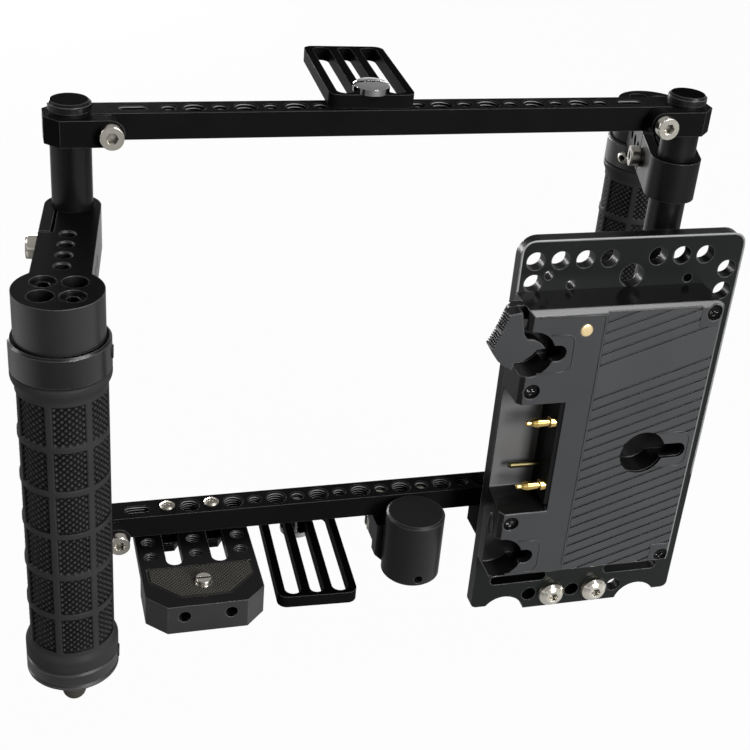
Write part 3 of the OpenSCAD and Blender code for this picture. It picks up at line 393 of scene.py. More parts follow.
def turned(name, colour, rough, metallic=1.0, ring=0.10, gloss=0.5, painted_top_light=0.45, deep=0.4, socket_shade=0.0, rim=0.35):
    """Turned metal: fine rings along Z, slight stain, and painted light: faces turned up lighter, the rest
    towards the deeper tone.

    ring is the strength of the rings, lift what a face turned up gains as painted light (painted shade where
    it is below 0), and deep the deeper tone's share of the colour, for stain and painted shade; soot is the
    share of painted shade that blackens sockets and slots, rim that by which edges brighten as painted
    highlight.
    """
    f = Finish(name)
    rings = f.noise(scale=900, detail=FINE, stretch=(0.04, 0.04, 4.0))
    stain = f.noise(scale=160)
    rounded = f.rounded(radius=0.25 * MM)
    # Painted light mixed with the stain: faces turned up lighter, the rest towards the deeper tone
    dark = tuple(part * deep for part in colour[:3]) + (1.0,)
    body = f.mix((STAIN_SHARE * stain + STAIN_LEAST + painted_top_light * f.facing(2)).clip(), dark, colour)
    # Painted highlight on the edges
    paint = f.mix(f.edge(rounded) * rim, body, METAL_EDGE_HIGHLIGHT if metallic > 0.5 else PAINT_EDGE_HIGHLIGHT)
    # Painted shade: sockets and slots darkened where the piece's own walls close in
    if socket_shade:
        paint = f.mix((f.sunk(SHADE_REACH) * socket_shade).clip(), paint, SHADE_BLACK)
    roughness = varied(rough, (0.12, rings), (0.08, stain))
    normal = f.bump(rings, strength=ring, distance=0.04 * MM, normal=rounded)
    return f.done(Base_Color=paint, Roughness=roughness, Metallic=metallic, Specular_IOR_Level=gloss,
                  Normal=normal)


def tipped(name, level_z):
    """Screw dark below a height, with bright, stained nickel above it."""
    f = Finish(name)
    stain = f.noise(scale=240)
    tip = ((f.axis(2) - level_z) / (0.3 * MM)).clip()
    nickel = f.mix(stain, (0.30, 0.28, 0.24, 1), (0.55, 0.52, 0.46, 1))
    colour = f.mix(tip, grey(0.02), nickel)
    roughness = varied(0.34, (0.14, stain))
    return f.done(Base_Color=colour, Roughness=roughness, Metallic=1.0, Normal=f.rounded(radius=0.25 * MM))


CLOUD = 70


def moulded(name, low, high, rough, gloss):
    """Moulded rubber or plastic: spark-eroded grain, faint cloudiness, edges a little paler for rubbing and
    as painted highlight.
    """
    f = Finish(name)
    grain = f.noise(scale=1500, detail=FINE)
    cloud = f.noise(CLOUD)
    rounded = f.rounded(radius=0.4 * MM)
    # Edge colour: rubbing and painted highlight
    rubbed_and_lit = tuple(min(1.0, part * 2.2 + 0.01) for part in high[:3]) + (1.0,)
    colour = f.mix(f.edge(rounded) * 0.5, f.mix(cloud, low, high), rubbed_and_lit)
    roughness = varied(rough, (0.12, cloud), (0.10, grain))
    normal = f.bump(grain, strength=0.25, distance=0.06 * MM, normal=rounded)
    return f.done(Base_Color=colour, Roughness=roughness, Specular_IOR_Level=gloss, Normal=normal)


def relief(name, valley, lit_crest, rough, gloss):
    """Rubber whose tone follows the piece's own rise attribute: painted shade in the valleys, painted
    highlight on the crests.
    """
    f = Finish(name)
    grain = f.noise(scale=1800, detail=FINE)
    cloud = f.noise(CLOUD)
    rise = f.node("ShaderNodeAttribute", {"attribute_name": "rise"}, out="Fac")
    colour = f.mix(varied(rise, (0.16, cloud)).clip(), valley, lit_crest)
    roughness = varied(rough, (0.12, cloud), (0.10, grain))
    normal = f.bump(grain, strength=0.2, distance=0.06 * MM)
    return f.done(Base_Color=colour, Roughness=roughness, Specular_IOR_Level=gloss, Normal=normal)


# Depths behind the adapter's front, in millimetres: where the painted shade of the pockets starts, where it
# ends at the recess floor, painted paler as light, and past which edges get no painted highlight
POCKET_START = 1.5
RECESS_FLOOR = 14
EDGES_DARK = 3


def faced(name, low, high, soft, pale):
    """Moulded housing: satin grey on faces turned to the front; elsewhere and in the pockets glossy, and
    painted black as shade.

    soft is the radius over which edges shine, painted pale as highlight; the floor of the terminal recess is
    painted paler than the rest, as light.
    """
    f = Finish(name)
    grain = f.noise(scale=1700, detail=FINE)
    cloud = f.noise(scale=40)
    rounded = f.rounded(radius=soft)
    edge = f.edge(rounded)
    deep = (f.axis(1) - ADAPTER_FRONT) / MM
    pocket_shade = (deep - POCKET_START).clip() * (RECESS_FLOOR - deep).clip()
    front = f.fronts()
    # Recess floor painted paler, as light
    body = f.mix((deep - RECESS_FLOOR).clip(), f.mix(cloud, low, high), grey(0.11))
    colour = f.mix(edge * 0.45, body, grey(pale))
    roughness = varied(0.42, (0.10, cloud), (0.08, grain))
    normal = f.bump(grain * front, strength=0.25, distance=0.05 * MM, normal=rounded)
    satin = f.shader(Base_Color=colour, Roughness=roughness, Specular_IOR_Level=0.42, Normal=normal)
    # Painted shade: black, its edges painted pale as highlight near the front only
    black = f.mix(edge * EDGE_WEAR_AND_HIGHLIGHT * (EDGES_DARK - deep).clip(), grey(0.005), grey(pale * 1.5))
    glossy = f.shader(Base_Color=black, Roughness=0.2, Specular_IOR_Level=0.26, Normal=rounded)
    # Faces not turned to the front, and the pockets, take the painted black
    return f.close(f.blend(front * (1 - 0.9 * pocket_shade), glossy, satin))


def coated(name, low, high, rim):
    """Dark hard-coated plate: speckled coat, faces not turned to the front or back, bore walls among them,
    painted black as shade, rim and hole edges painted bright as highlight.
    """
    f = Finish(name)
    speck = f.noise(scale=3200, detail=FINE)
    cloud = f.noise(scale=30)
    rounded = f.rounded(radius=0.55 * MM)
    turn = f.facing(1)
    # Painted shade: black on faces not turned to the front or back
    body = f.mix((3 * turn * turn - 1).clip(), grey(0.003), f.mix(cloud * 0.7 + speck * 0.3, low, high))
    # Painted highlight on the rim and hole edges
    colour = f.mix(f.edge(rounded) * 0.8, body, rim)
    roughness = varied(0.30, (0.10, cloud), (0.10, speck))
    normal = f.bump(speck, strength=0.12, distance=0.05 * MM, normal=rounded)
    return f.done(Base_Color=colour, Roughness=roughness, Specular_IOR_Level=0.16, Normal=normal)


# RING_LIT is a paler copy of the black, painted light on the lower rings and plugs; RING_BLACK and ARM_BLACK
# are darker copies, painted shade
BLACK = anodised("anodised_black", level=0.006, rough=0.34, gloss=0.55, pale=0.20, shaded_lid_share=0.30)
RING_BLACK = anodised("anodised_ring_black", level=0.0045, rough=0.30, gloss=0.48, pale=0.16)
ARM_BLACK = anodised("anodised_arm_black", level=0.0040, rough=0.30, gloss=0.20, pale=0.14)
RING_LIT = anodised("anodised_ring_satin", level=0.020, rough=0.34, gloss=0.48, pale=0.20)
SOCKET = anodised("anodised_socket", level=0.010, rough=0.36, gloss=0.22, pale=0.16, shaded_lid_share=0.95)
CAP = anodised("anodised_cap", level=0.0050, rough=0.26, gloss=0.30, pale=0.26, lid_gloss=0.004)
DEEP_BLACK = anodised("anodised_deep_black", level=0.0050, rough=0.32, gloss=0.004, pale=0.14,
                      lid_gloss=0.008)
BAR = threaded("anodised_bar", level=0.0058, rough=0.34, gloss=0.004, radius=0.4 * MM,
               bores=bar_bores, paint=bar_paint)
BASE = threaded("anodised_base", level=0.022, rough=0.34, gloss=0.30, radius=0.45 * MM,
                bores=base_bores, paint=base_paint)
ROD = turned("rod_satin", grey(0.005), rough=0.30, metallic=0.0, ring=0.05, gloss=0.25, painted_top_light=-0.8, deep=0.3)
CORE = turned("core_aluminium", grey(0.12), rough=0.35)
STEEL = turned("nickel_steel", (0.86, 0.82, 0.73, 1.0), rough=0.22, painted_top_light=0.7, deep=0.55, socket_shade=1.2, rim=0.6)
# Darker copy of the steel for the right handle's screws, painted shade
SHADED_STEEL = turned("worn_steel", (0.48, 0.455, 0.41, 1), rough=0.30, painted_top_light=0.7, deep=0.35, socket_shade=1.3, rim=0.5)
DARK_STEEL = turned("black_oxide_steel", grey(0.009, 0.05), rough=0.36, metallic=0.9)
CHROME = turned("polished_chrome", grey(0.66), rough=0.08, ring=0.03)
GILT = turned("gold_plate", (0.80, 0.56, 0.18, 1.0), rough=0.22)
PALE_GILT = turned("pale_gilt", (0.95, 0.76, 0.42, 1.0), rough=0.36, painted_top_light=0.0, deep=0.85)
AGED = turned("aged_brass", (0.10, 0.085, 0.04, 1.0), rough=0.35)
TIPPED = tipped("tipped_screw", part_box("bottom_bar")[1][2])
RUBBER = relief("grip_rubber", grey(0.0006), grey(0.060), rough=0.45, gloss=0.05)
PAD = relief("pad_rubber", (0.003, 0.0028, 0.0024, 1), (0.105, 0.100, 0.090, 1), rough=0.6, gloss=0.1)
PLASTIC = faced("adapter_plastic", (0.020, 0.021, 0.023, 1), (0.030, 0.031, 0.034, 1),
                soft=0.9 * MM, pale=0.13)
PANEL = faced("panel_plastic", (0.026, 0.027, 0.029, 1), (0.040, 0.041, 0.044, 1),
              soft=0.15 * MM, pale=0.02)
BLACK_PLASTIC = moulded("black_plastic", grey(0.002), grey(0.004), rough=0.40, gloss=0.10)
OVAL = moulded("oval_plastic", grey(0.03), grey(0.05), rough=0.35, gloss=0.3)
STUB = moulded("stub_rubber", (0.045, 0.042, 0.037, 1), (0.075, 0.070, 0.062, 1), rough=0.5, gloss=0.08)
# Pale bead along the back plate's edge, painted as the bevel's highlight
RIM_HIGHLIGHT = moulded("plate_rim", grey(0.16), grey(0.26), rough=0.35, gloss=0.4)
SLATE = coated("slate_coat", (0.0040, 0.0052, 0.0045, 1), (0.0085, 0.0105, 0.0094, 1),
               rim=(0.17, 0.18, 0.17, 1))

# Finish of each material slot, and of the nodes that differ from their slot's
SLOT_LOOK = {
    "anodised_black": BLACK, "rod_satin": ROD, "core_aluminium": CORE, "steel": STEEL,
    "black_steel": DARK_STEEL, "chrome": CHROME, "gilt": GILT, "grip_rubber": RUBBER,
    "adapter_plastic": PLASTIC, "black_plastic": BLACK_PLASTIC, "slate_aluminium": SLATE,
    "pad_rubber": PAD,
}
NODE_LOOK = {
    "top_bar": BAR, "bottom_bar": BAR, "rod_caps_top": CAP, "rod_caps_bottom": CAP,
    "top_plate": DEEP_BLACK, "bottom_plate": DEEP_BLACK, "battery_bracket": DEEP_BLACK,
    "base_plate": BASE, "base_screws": TIPPED, "stand_socket": SOCKET,
    "left_upper_ring": RING_BLACK, "left_lower_ring": RING_LIT, "right_lower_ring": RING_LIT,
    "left_end_plug": RING_LIT, "right_end_plug": RING_LIT, "right_arm": ARM_BLACK,
    "right_clamp_screw": SHADED_STEEL, "right_ring_screws": SHADED_STEEL,
    "rib_panel": PANEL, "sense_pin": AGED,
}


def dress_nodes():
    """Gives every CAD node its own finish, or that of its material slot."""
    slots = {row["node"]: row["material_slot"] for row in frame["record"]["subparts"]}
    for name, obj in frame["nodes"].items():
        obj.data.materials.clear()
        obj.data.materials.append(NODE_LOOK.get(name, SLOT_LOOK[slots[name]]))


# Surfaces

def surface(name, points, material, wrap_u=False, wrap_v=False, keep=None, rise=None):
    """Quads over a grid of points (rows v, columns u, xyz); wrap joins the last column or row to the first.

    keep, where given, is a mask of the quads that stay, and rise the relief that the finish reads.
    """
    rows, columns = points.shape[:2]
    index = np.arange(rows * columns).reshape(rows, columns)
    right = np.roll(index, -1, axis=1)
    above = np.roll(index, -1, axis=0)
    both = np.roll(right, -1, axis=0)
    quads = np.stack([index, right, both, above], axis=-1)
    quads = quads[: rows if wrap_v else rows - 1, : columns if wrap_u else columns - 1]
    if keep is not None:
        quads = quads[keep]
    mesh = bpy.data.meshes.new(name)
    mesh.from_pydata(points.reshape(-1, 3).tolist(), [], quads.reshape(-1, 4).tolist())
    mesh.polygons.foreach_set("use_smooth", np.ones(len(mesh.polygons), dtype=bool))
    mesh.materials.append(material)
    if rise is not None:
        values = mesh.attributes.new("rise", "FLOAT", "POINT").data
        values.foreach_set("value", rise.astype(np.float32).ravel())
    mesh.update()
    obj = bpy.data.objects.new(name, mesh)
    bpy.context.scene.collection.objects.link(obj)
    return obj


def lay(name, points, body, material, slot, **grid):
    """A surface with its material that rides on a body; slot is not used."""
    obj = surface(name, points, material, **grid)
    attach(obj, body)
    return obj


def sleeve(name, centre, axis, radius_of, length, bore, body, material, slot, columns, rows):
    """Tube round an axis: radius_of(angle, share of the length) outside, a plain bore inside, closed."""
    axis = np.array(axis, dtype=float) / np.linalg.norm(axis)
    side = np.cross(axis, (0, 0, 1)) if abs(axis[2]) < 0.9 else np.array((1.0, 0.0, 0.0))
    side = side / np.linalg.norm(side)
    other = np.cross(axis, side)
    a, t = np.meshgrid(np.arange(columns) / columns * TAU, np.linspace(0, 1, rows))
    inner = np.full((1, columns), bore)
    radius = np.concatenate([inner, radius_of(a, t), inner])
    a = np.concatenate([a[:1], a, a[-1:]])
    t = np.concatenate([t[:1], t, t[-1:]])
    ring = np.cos(a)[..., None] * side + np.sin(a)[..., None] * other
    points = np.array(centre) + radius[..., None] * ring + ((t - 0.5) * length)[..., None] * axis
    return lay(name, points, body, material, slot, wrap_u=True, wrap_v=True)


def step(x, low, high):
    """Smooth step from 0 at low to 1 at high."""
    t = np.clip((x - low) / (high - low), 0, 1)
    return t * t * (3 - 2 * t)


def fold(x):
    """Triangle wave of period 1, 1 at whole numbers and 0 half way."""
    return np.abs(x % 1 * 2 - 1)


# Grips

GRIP_R = 15.7 * MM
CORE_R = 11.6 * MM
FLANGE_R = 17.1 * MM
FLANGE_TOP = 6 * MM
FLANGE_TOP_FULL = 1.5 * MM
FLANGE_TOP_ROWS = 10
FLANGE_LOW = 8 * MM
FLANGE_LOW_FULL = 5.2 * MM
FLANGE_LOW_ROWS = 12
LIP_HEIGHT = 0.6 * MM
LIP_DRAWN_IN = 0.5 * MM
CELL_COLUMNS = 7
CELL_ROWS = 6
CELL_SINK = 1.1 * MM
RIB_INNER = 1.10 * MM
RIB_OUTER = 1.65 * MM
RIB_TONE = 0.46
DIAMONDS_ROUND = 38
DIAMONDS_HIGH = 46
DIAMOND_SAMPLES = 7
DIAMOND_RISE = 0.75 * MM
DIAMOND_CONTRAST = 1.6


def grip(side):
    """Rubber sleeve as a surface of angle a and height z.

    r = rib radius - sink * inside + diamonds * inside, where inside is 1 in a cell and falls to 0 at its
    ribs; a diamond is the lesser of two triangle waves that climb the two ways round, sampled seven times
    a period; both ends flare to the flange radius, and the first and last rows turn in to the core, so the
    skin closes through the bore.
    """
    centre, bottom, top = middle(side + "_grip")
    columns = DIAMOND_SAMPLES * DIAMONDS_ROUND
    angle = np.arange(columns) / columns * TAU
    zone_low = bottom + FLANGE_LOW
    zone_top = top - FLANGE_TOP
    heights = np.concatenate([
        np.linspace(bottom, zone_low, FLANGE_LOW_ROWS, endpoint=False),
        np.linspace(zone_low, zone_top, DIAMOND_SAMPLES * DIAMONDS_HIGH + 1),
        np.linspace(top, zone_top, FLANGE_TOP_ROWS, endpoint=False)[::-1],
    ])
    a, z = np.meshgrid(angle, heights)
    along = (zone_top - z) / (zone_top - zone_low)
    row = along * CELL_ROWS
    row_gap = np.abs(row - np.round(row)) / CELL_ROWS * (zone_top - zone_low)
    column = (a + math.radians(ARM_TURN[side])) / TAU * CELL_COLUMNS
    column_gap = np.abs(column - np.round(column)) * TAU / CELL_COLUMNS * GRIP_R
    inside = step(np.minimum(row_gap, column_gap), RIB_INNER, RIB_OUTER) * ((along > 0) & (along < 1))
    turns = a / TAU * DIAMONDS_ROUND
    climb = along * DIAMONDS_HIGH
    diamond = np.minimum(fold(turns + climb), fold(turns - climb))
    radius = GRIP_R + inside * (DIAMOND_RISE * diamond - CELL_SINK)
    flare_top = 1 - step(top - z, FLANGE_TOP_FULL, FLANGE_TOP)
    flare_low = 1 - step(z - bottom, FLANGE_LOW_FULL, FLANGE_LOW)
    radius = radius + (FLANGE_R - GRIP_R) * np.maximum(flare_top, flare_low)
    lip = np.minimum(top - z, z - bottom)
    radius = radius - LIP_DRAWN_IN * (1 - step(lip, 0, LIP_HEIGHT))

    core = np.full((1, columns), CORE_R)
    radius = np.concatenate([core, radius, core])
    a, z = (np.concatenate([grid[:1], grid, grid[-1:]]) for grid in (a, z))
    points = np.stack([centre[0] + radius * np.cos(a), centre[1] + radius * np.sin(a), z], axis=-1)
    # Tone for the finish: painted shade in the diamond valleys and along the cell borders, painted highlight
    # on the diamond crests, a mid tone on the ribs
    tone = (1 - step(inside, 0, 0.4)) * RIB_TONE + step(inside, 0.8, 1) * diamond ** DIAMOND_CONTRAST
    tone = np.concatenate([tone[:1], tone, tone[-1:]])
    skin = lay(side + "_grip_sleeve", points, side + "_handle", RUBBER, "grip_rubber",
               wrap_u=True, wrap_v=True, rise=tone)
    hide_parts(side + "_grip")


STUB_TIP = 0.74
STUB_ROUND = 0.2
STUB_BORE = 0.3 * MM


def end_stub(side):
    """Tapered stub under a grip: radius falls with depth below the ring and rounds in at the tip."""
    centre, bottom, top = middle(side + "_end_bolt")
    low, high = extent(side + "_end_bolt")
    wide = (high[0] - low[0]) / 2
    shown = (middle(side + "_end_plug")[1] - bottom) / (top - bottom)

    def taper(a, t):
        up = np.clip(t / shown, 0, 1)
        tip = np.sqrt(1 - 0.5 * (1 - np.clip(up / STUB_ROUND, 0, 1)) ** 2)
        return wide * (STUB_TIP + (1 - STUB_TIP) * up) * tip

    stub = sleeve(side + "_end_stub", centre, (0, 0, 1), taper, top - bottom, STUB_BORE, side + "_handle",
                  STUB, "black_steel", columns=48, rows=64)
    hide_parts(side + "_end_bolt")


# Camera pad

PAD_TAPER = 11.5 * MM
PAD_NOSE = 10 * MM
PAD_CORNER = 2.2 * MM
PAD_PITCH = 1.7 * MM
PAD_TOOTH = 0.42 * MM
PAD_PLAIN_RIM = 0.6 * MM
PAD_FULL_RIM = 1.0 * MM
PAD_LIP = 0.4 * MM
PAD_LIP_DROP = 0.35 * MM
PAD_COLUMNS = 241
PAD_ROWS = 121
SCREW_RING_R = 4.4 * MM
SCREW_RING_SINK = 0.3 * MM
SCREW_HOLE_R = 3.5 * MM
# Tone of the painted shade in the knurl's valleys
PAD_VALLEY_SHADE = 0.1
PAD_SIDE_TONE = 0.2


def pad():
    """Knurled pad as a height over x and y: crossed folded waves, sunk at the rim.

    The half width follows the outline, full at the back and drawn in along the two front corners;
    the rim rows drop to the seat, and a round hole is left for the camera screw.
    """
    low, high = extent("base_pad")
    screw = middle("camera_screw")[0]
    centre = (low + high) / 2
    half = (high[0] - low[0]) / 2
    u, v = np.meshgrid(np.linspace(-1, 1, PAD_COLUMNS), np.linspace(0, 1, PAD_ROWS))
    y = high[1] + (low[1] - high[1]) * v
    reach = np.clip((y - low[1]) / PAD_TAPER, 0, 1)
    wide = PAD_NOSE + (half - PAD_NOSE) * reach
    round_off = np.clip(1 - (high[1] - y) / PAD_CORNER, 0, 1)
    wide = wide - PAD_CORNER * (1 - np.sqrt(1 - round_off ** 2))
    x = centre[0] + wide * u
    rim = np.minimum((1 - np.abs(u)) * wide, np.minimum(high[1] - y, y - low[1]))
    tooth = np.minimum(fold((x + y) / PAD_PITCH), fold((x - y) / PAD_PITCH))
    tooth = tooth * step(rim, PAD_PLAIN_RIM, PAD_FULL_RIM)
    z = high[2] - PAD_TOOTH + PAD_TOOTH * tooth
    z = z - PAD_LIP_DROP * (1 - step(rim, 0, PAD_LIP))
    gap = np.hypot(x - screw[0], y - screw[1])
    z = np.where(gap < SCREW_RING_R, high[2] - SCREW_RING_SINK, z)
    points = np.stack([x, y, z], axis=-1)
    away = gap[:-1, :-1] > SCREW_HOLE_R
    # Tone for the finish: painted shade in the knurl's valleys, painted highlight on its crests
    tone = PAD_VALLEY_SHADE + (1 - PAD_VALLEY_SHADE) * tooth
    top = lay("pad_knurl", points[::-1], "camera_base", PAD, "pad_rubber", keep=away[::-1], rise=tone[::-1])
    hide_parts("base_pad")
    edge = np.concatenate([points[0], points[1:, -1], points[-1, ::-1][1:], points[::-1, 0][1:-1]])
    drop = edge.copy()
    drop[:, 2] = low[2]
    side_tone = np.full((2, len(edge)), PAD_SIDE_TONE)
    lay("pad_rim", np.stack([edge, drop]), "camera_base", PAD, "pad_rubber", wrap_u=True, rise=side_tone)


# Screw collars, button head and stud thread

HEAD_R = 4.25 * MM
HEAD_LENGTH = 4.4 * MM
HEAD_FRONT_GAP = 0.25 * MM
COLLAR_BORE = HEAD_R - 0.2 * MM
COLLAR_GRID = {"columns": 128, "rows": 6}
KNURL_BASE = 0.02 * MM
KNURL_RISE = 0.10 * MM
KNURL_DEPTH = 0.25
KNURL_TEETH = 32
KNURL_ENDS = 0.12
# Middle of an arm's clamp screw head, from its rod: out along the arm and across it
ARM_SCREW_OUT = 19.1 * MM
ARM_SCREW_ACROSS = 12.75 * MM


def knurled(a, t):
    """Straight knurl on a screw head: radius lifted by a folded wave round it, drawn in at both ends."""
    ends = step(np.minimum(t, 1 - t), 0, KNURL_ENDS)
    teeth = 1 - KNURL_DEPTH + KNURL_DEPTH * fold(a / TAU * KNURL_TEETH)
    return HEAD_R + KNURL_BASE + ends * KNURL_RISE * teeth


def collars():
    """Knurled rims of the clamp screw heads on both bars and both arms."""
    for node, body in (("top_clamp_screws", "frame"), ("bottom_clamp_screws", "base")):
        low, high = extent(node)
        for tag, x in (("left", low[0] + HEAD_R), ("right", high[0] - HEAD_R)):
            place = (x, low[1] + HEAD_FRONT_GAP + HEAD_LENGTH / 2, (low[2] + high[2]) / 2)
            sleeve(f"{node}_{tag}_knurl", place, (0, 1, 0), knurled, HEAD_LENGTH, COLLAR_BORE, body,
                   STEEL, "steel", **COLLAR_GRID)
    for side, sign, steel in (("left", -1, STEEL), ("right", 1, SHADED_STEEL)):
        turn = math.radians(ARM_TURN[side])
        out = np.array((sign * math.sin(turn), sign * math.cos(turn), 0))
        across = np.array((-math.cos(turn), math.sin(turn), 0))
        place = middle("rod_" + side)[0] + ARM_SCREW_OUT * out + ARM_SCREW_ACROSS * across
        place[2] = middle(side + "_clamp_screw")[0][2]
        sleeve(side + "_clamp_knurl", place, across, knurled, HEAD_LENGTH, COLLAR_BORE, side + "_handle",
               steel, "steel", **COLLAR_GRID)


BUTTON_R = 2.95 * MM
BUTTON_BORE = 1.5 * MM
BUTTON_RISE = 1.6 * MM
BUTTON_SINK = 0.3 * MM


def button_head(side):
    """Domed head over an upper ring's screw: the radius falls from rim to socket as a quarter ellipse."""
    ring = middle(side + "_upper_ring")[0]
    low, high = extent(side + "_upper_ring")
    out = (middle(side + "_ring_screws")[0] - ring) * (1, 1, 0)
    out = out / np.linalg.norm(out)
    length = BUTTON_SINK + BUTTON_RISE
    place = ring + out * ((high[0] - low[0]) / 2 - BUTTON_SINK + length / 2)

    def dome(a, t):
        return BUTTON_BORE + (BUTTON_R - BUTTON_BORE) * np.sqrt(1 - t ** 2)

    sleeve(side + "_ring_button", place, out, dome, length, BUTTON_BORE, side + "_handle",
           SHADED_STEEL, "steel", columns=48, rows=12)


STUD_LENGTH = 2.4 * MM
STUD_ROOT = 3.12 * MM
STUD_TOOTH = 0.14 * MM
STUD_PITCH = 0.8 * MM
STUD_BORE = 2.9 * MM
STUD_LEAD_IN = 0.12
STUD_TOP_GAP = 0.3 * MM


def stud_thread():
    """Thread of the camera screw: radius waves with height and turns once a pitch."""
    centre, _, top = middle("camera_screw")

    def thread(a, t):
        tooth = fold(t * STUD_LENGTH / STUD_PITCH - a / TAU)
        return STUD_ROOT + STUD_TOOTH * tooth * step(1 - t, 0, STUD_LEAD_IN)

    place = (centre[0], centre[1], top - STUD_TOP_GAP - STUD_LENGTH / 2)
    sleeve("camera_screw_thread", place, (0, 0, 1), thread, STUD_LENGTH, STUD_BORE, "camera_stud",
           STEEL, "steel", columns=64, rows=28)


# Beads, oval and gilt stud on the adapter

BEAD_ANGLES = 7
BEAD_TIP = 0.05
BEAD_TIP_SHARE = 0.03
CORNER_SAMPLES = 8


def rounded_path(corners, radius):
    """Polyline through corners in X and Z, each inner corner replaced by a parabola arc."""
    corners = np.array(corners, dtype=float)
    path = [corners[0]]
    for before, corner, after in zip(corners[:-2], corners[1:-1], corners[2:]):
        start = corner + (before - corner) / np.linalg.norm(before - corner) * radius
        end = corner + (after - corner) / np.linalg.norm(after - corner) * radius
        t = np.linspace(0, 1, CORNER_SAMPLES)[:, None]
        path.extend((1 - t) ** 2 * start + 2 * t * (1 - t) * corner + t ** 2 * end)
    path.append(corners[-1])
    return np.array(path)


def bead(name, corners, radius, front, half, rise, material, slot):
    """Fine raised line on a front face: a half round carried along a path, thin at its ends.

    The corners and their radius are in millimetres.
    """
    path = rounded_path(corners, radius) * MM
    path = np.stack([path[:, 0], np.full(len(path), front), path[:, 1]], axis=-1)
    first = path[0] + (path[1] - path[0]) * np.array([[0.0], [BEAD_TIP_SHARE]])
    last = path[-1] + (path[-2] - path[-1]) * np.array([[BEAD_TIP_SHARE], [0.0]])
    path = np.concatenate([first, path[1:-1], last])
    along = np.gradient(path, axis=0)
    along = along / np.linalg.norm(along, axis=1)[:, None]
    out = np.array((0.0, -1.0, 0.0))
    across = np.cross(out, along)
    size = np.ones((len(path), 1, 1))
    size[0] = BEAD_TIP
    size[-1] = BEAD_TIP
    a = np.linspace(0, math.pi, BEAD_ANGLES)[None, :, None]
    points = path[:, None] + size * (half * np.cos(a) * across[:, None] + rise * np.sin(a) * out)
    lay(name, points, "base", material, slot, wrap_u=True)


# Corner radius and corners of each outline on the adapter's front, as X and Z in millimetres
OUTLINES = {
    "upper_keyhole_outline": (4.2, [(60.5, 107.7), (71, 107.5), (71, 90.6), (56, 90.4)]),
    "lower_keyhole_outline": (4.2, [(60.5, 6.1), (71, 5.9), (71, -10.9), (56, -11.1)]),
    "right_keyhole_outline": (5, [(115.5, 57), (132.4, 56.6), (132.4, 39.4), (117, 39.3)]),
    "plain_field_outline": (1.2, [(54, 115.7), (82.9, 115.7), (82.9, -11.6)]),
}
OUTLINE_HALF = 0.38 * MM
OUTLINE_RISE = 0.28 * MM
# Back plate's rim, a pale bead painted as the bevel's highlight, in millimetres: its inset from the edge,
# the height of its ends and its corner radius
RIM_INSET = 0.55
RIM_END = 20
RIM_CORNER = 6
RIM_HALF = 0.5 * MM
RIM_RISE = 0.2 * MM


def beads():
    """Outlines round the three keyholes and along the edge of the ribbed field, and round the back plate a
    pale bead painted as its bevel's highlight.
    """
    for name, (radius, corners) in OUTLINES.items():
        bead(name, corners, radius, ADAPTER_FRONT, OUTLINE_HALF, OUTLINE_RISE, PLASTIC, "adapter_plastic")
    low, high = extent("back_plate")
    left = low[0] / MM + RIM_INSET
    right = high[0] / MM - RIM_INSET
    top = high[2] / MM - RIM_INSET
    corners = [(left, RIM_END), (left, top), (right, top), (right, RIM_END)]
    bead("back_plate_rim", corners, RIM_CORNER, low[1], RIM_HALF, RIM_RISE, RIM_HIGHLIGHT, "slate_aluminium")


OVAL_Y = -34.2 * MM
OVAL_Z = 10.5 * MM
OVAL_HALF_Y = 2.6 * MM
OVAL_HALF_Z = 5.4 * MM
OVAL_RING_R = 0.5 * MM
OVAL_FLATTER = 0.7
OVAL_ROUND = 64
OVAL_SECTION = 12


def side_oval():
    """Raised oval ring on the housing's left side: a flattened round carried along an ellipse in Y and Z."""
    section = np.arange(OVAL_SECTION) / OVAL_SECTION * TAU
    a, b = np.meshgrid(section, np.arange(OVAL_ROUND) / OVAL_ROUND * TAU)
    grow = OVAL_RING_R * np.cos(a)
    points = np.stack([
        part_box("back_plate")[0][0] - OVAL_RING_R * OVAL_FLATTER * np.sin(a),
        OVAL_Y + (OVAL_HALF_Y + grow) * np.cos(b),
        OVAL_Z + (OVAL_HALF_Z + grow) * np.sin(b),
    ], axis=-1)
    lay("side_oval", points, "base", OVAL, "adapter_plastic", wrap_u=True, wrap_v=True)


# Shares of the radius and of the depth, from the middle of the dome to the middle of the back
GILT_PROFILE = (
    (0.0, 0.0), (0.02, 0.0), (0.5, 0.02), (0.85, 0.08), (0.97, 0.2), (1.0, 0.45),
    (1.0, 1.0), (0.02, 1.0), (0.0, 1.0),
)
GILT_COLUMNS = 64


def gilt_stud():
    """Round gilt stud in place of the flat dot: a shallow dome over a disc, turned about Y."""
    low, high = extent("gilt_dot")
    centre = (low + high) / 2
    wide = (high[2] - low[2]) / 2
    share, depth = np.array(GILT_PROFILE).T
    angle = np.arange(GILT_COLUMNS) / GILT_COLUMNS * TAU
    a, s = np.meshgrid(angle, share)
    points = np.stack([
        centre[0] + wide * s * np.cos(a),
        np.broadcast_to((low[1] + (high[1] - low[1]) * depth)[:, None], a.shape),
        centre[2] + wide * s * np.sin(a),
    ], axis=-1)
    stud = lay("gilt_stud", points, "base", PALE_GILT, "gilt", wrap_u=True)
    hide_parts("gilt_dot")


# Floor, room, lamps and camera

FLOOR_GAP = 1.5 * MM
FLOOR_REACH = 6.0
FLOOR_LINES = 9
FLOOR_PAINT = 0.22
FLOOR_WHITE = 0.975
# Middle x, middle y and reach of the pools of painted light that mirrors see on the floor
LIT_FLOOR = ((0.36, -0.15, 0.45), (-0.60, 0.0, 0.40), (0.0, 0.80, 0.50))
UNLIT = 0.06
HORIZON = 0.02
HORIZON_FADE = 0.20
OVERHEAD_DARKER = 0.75


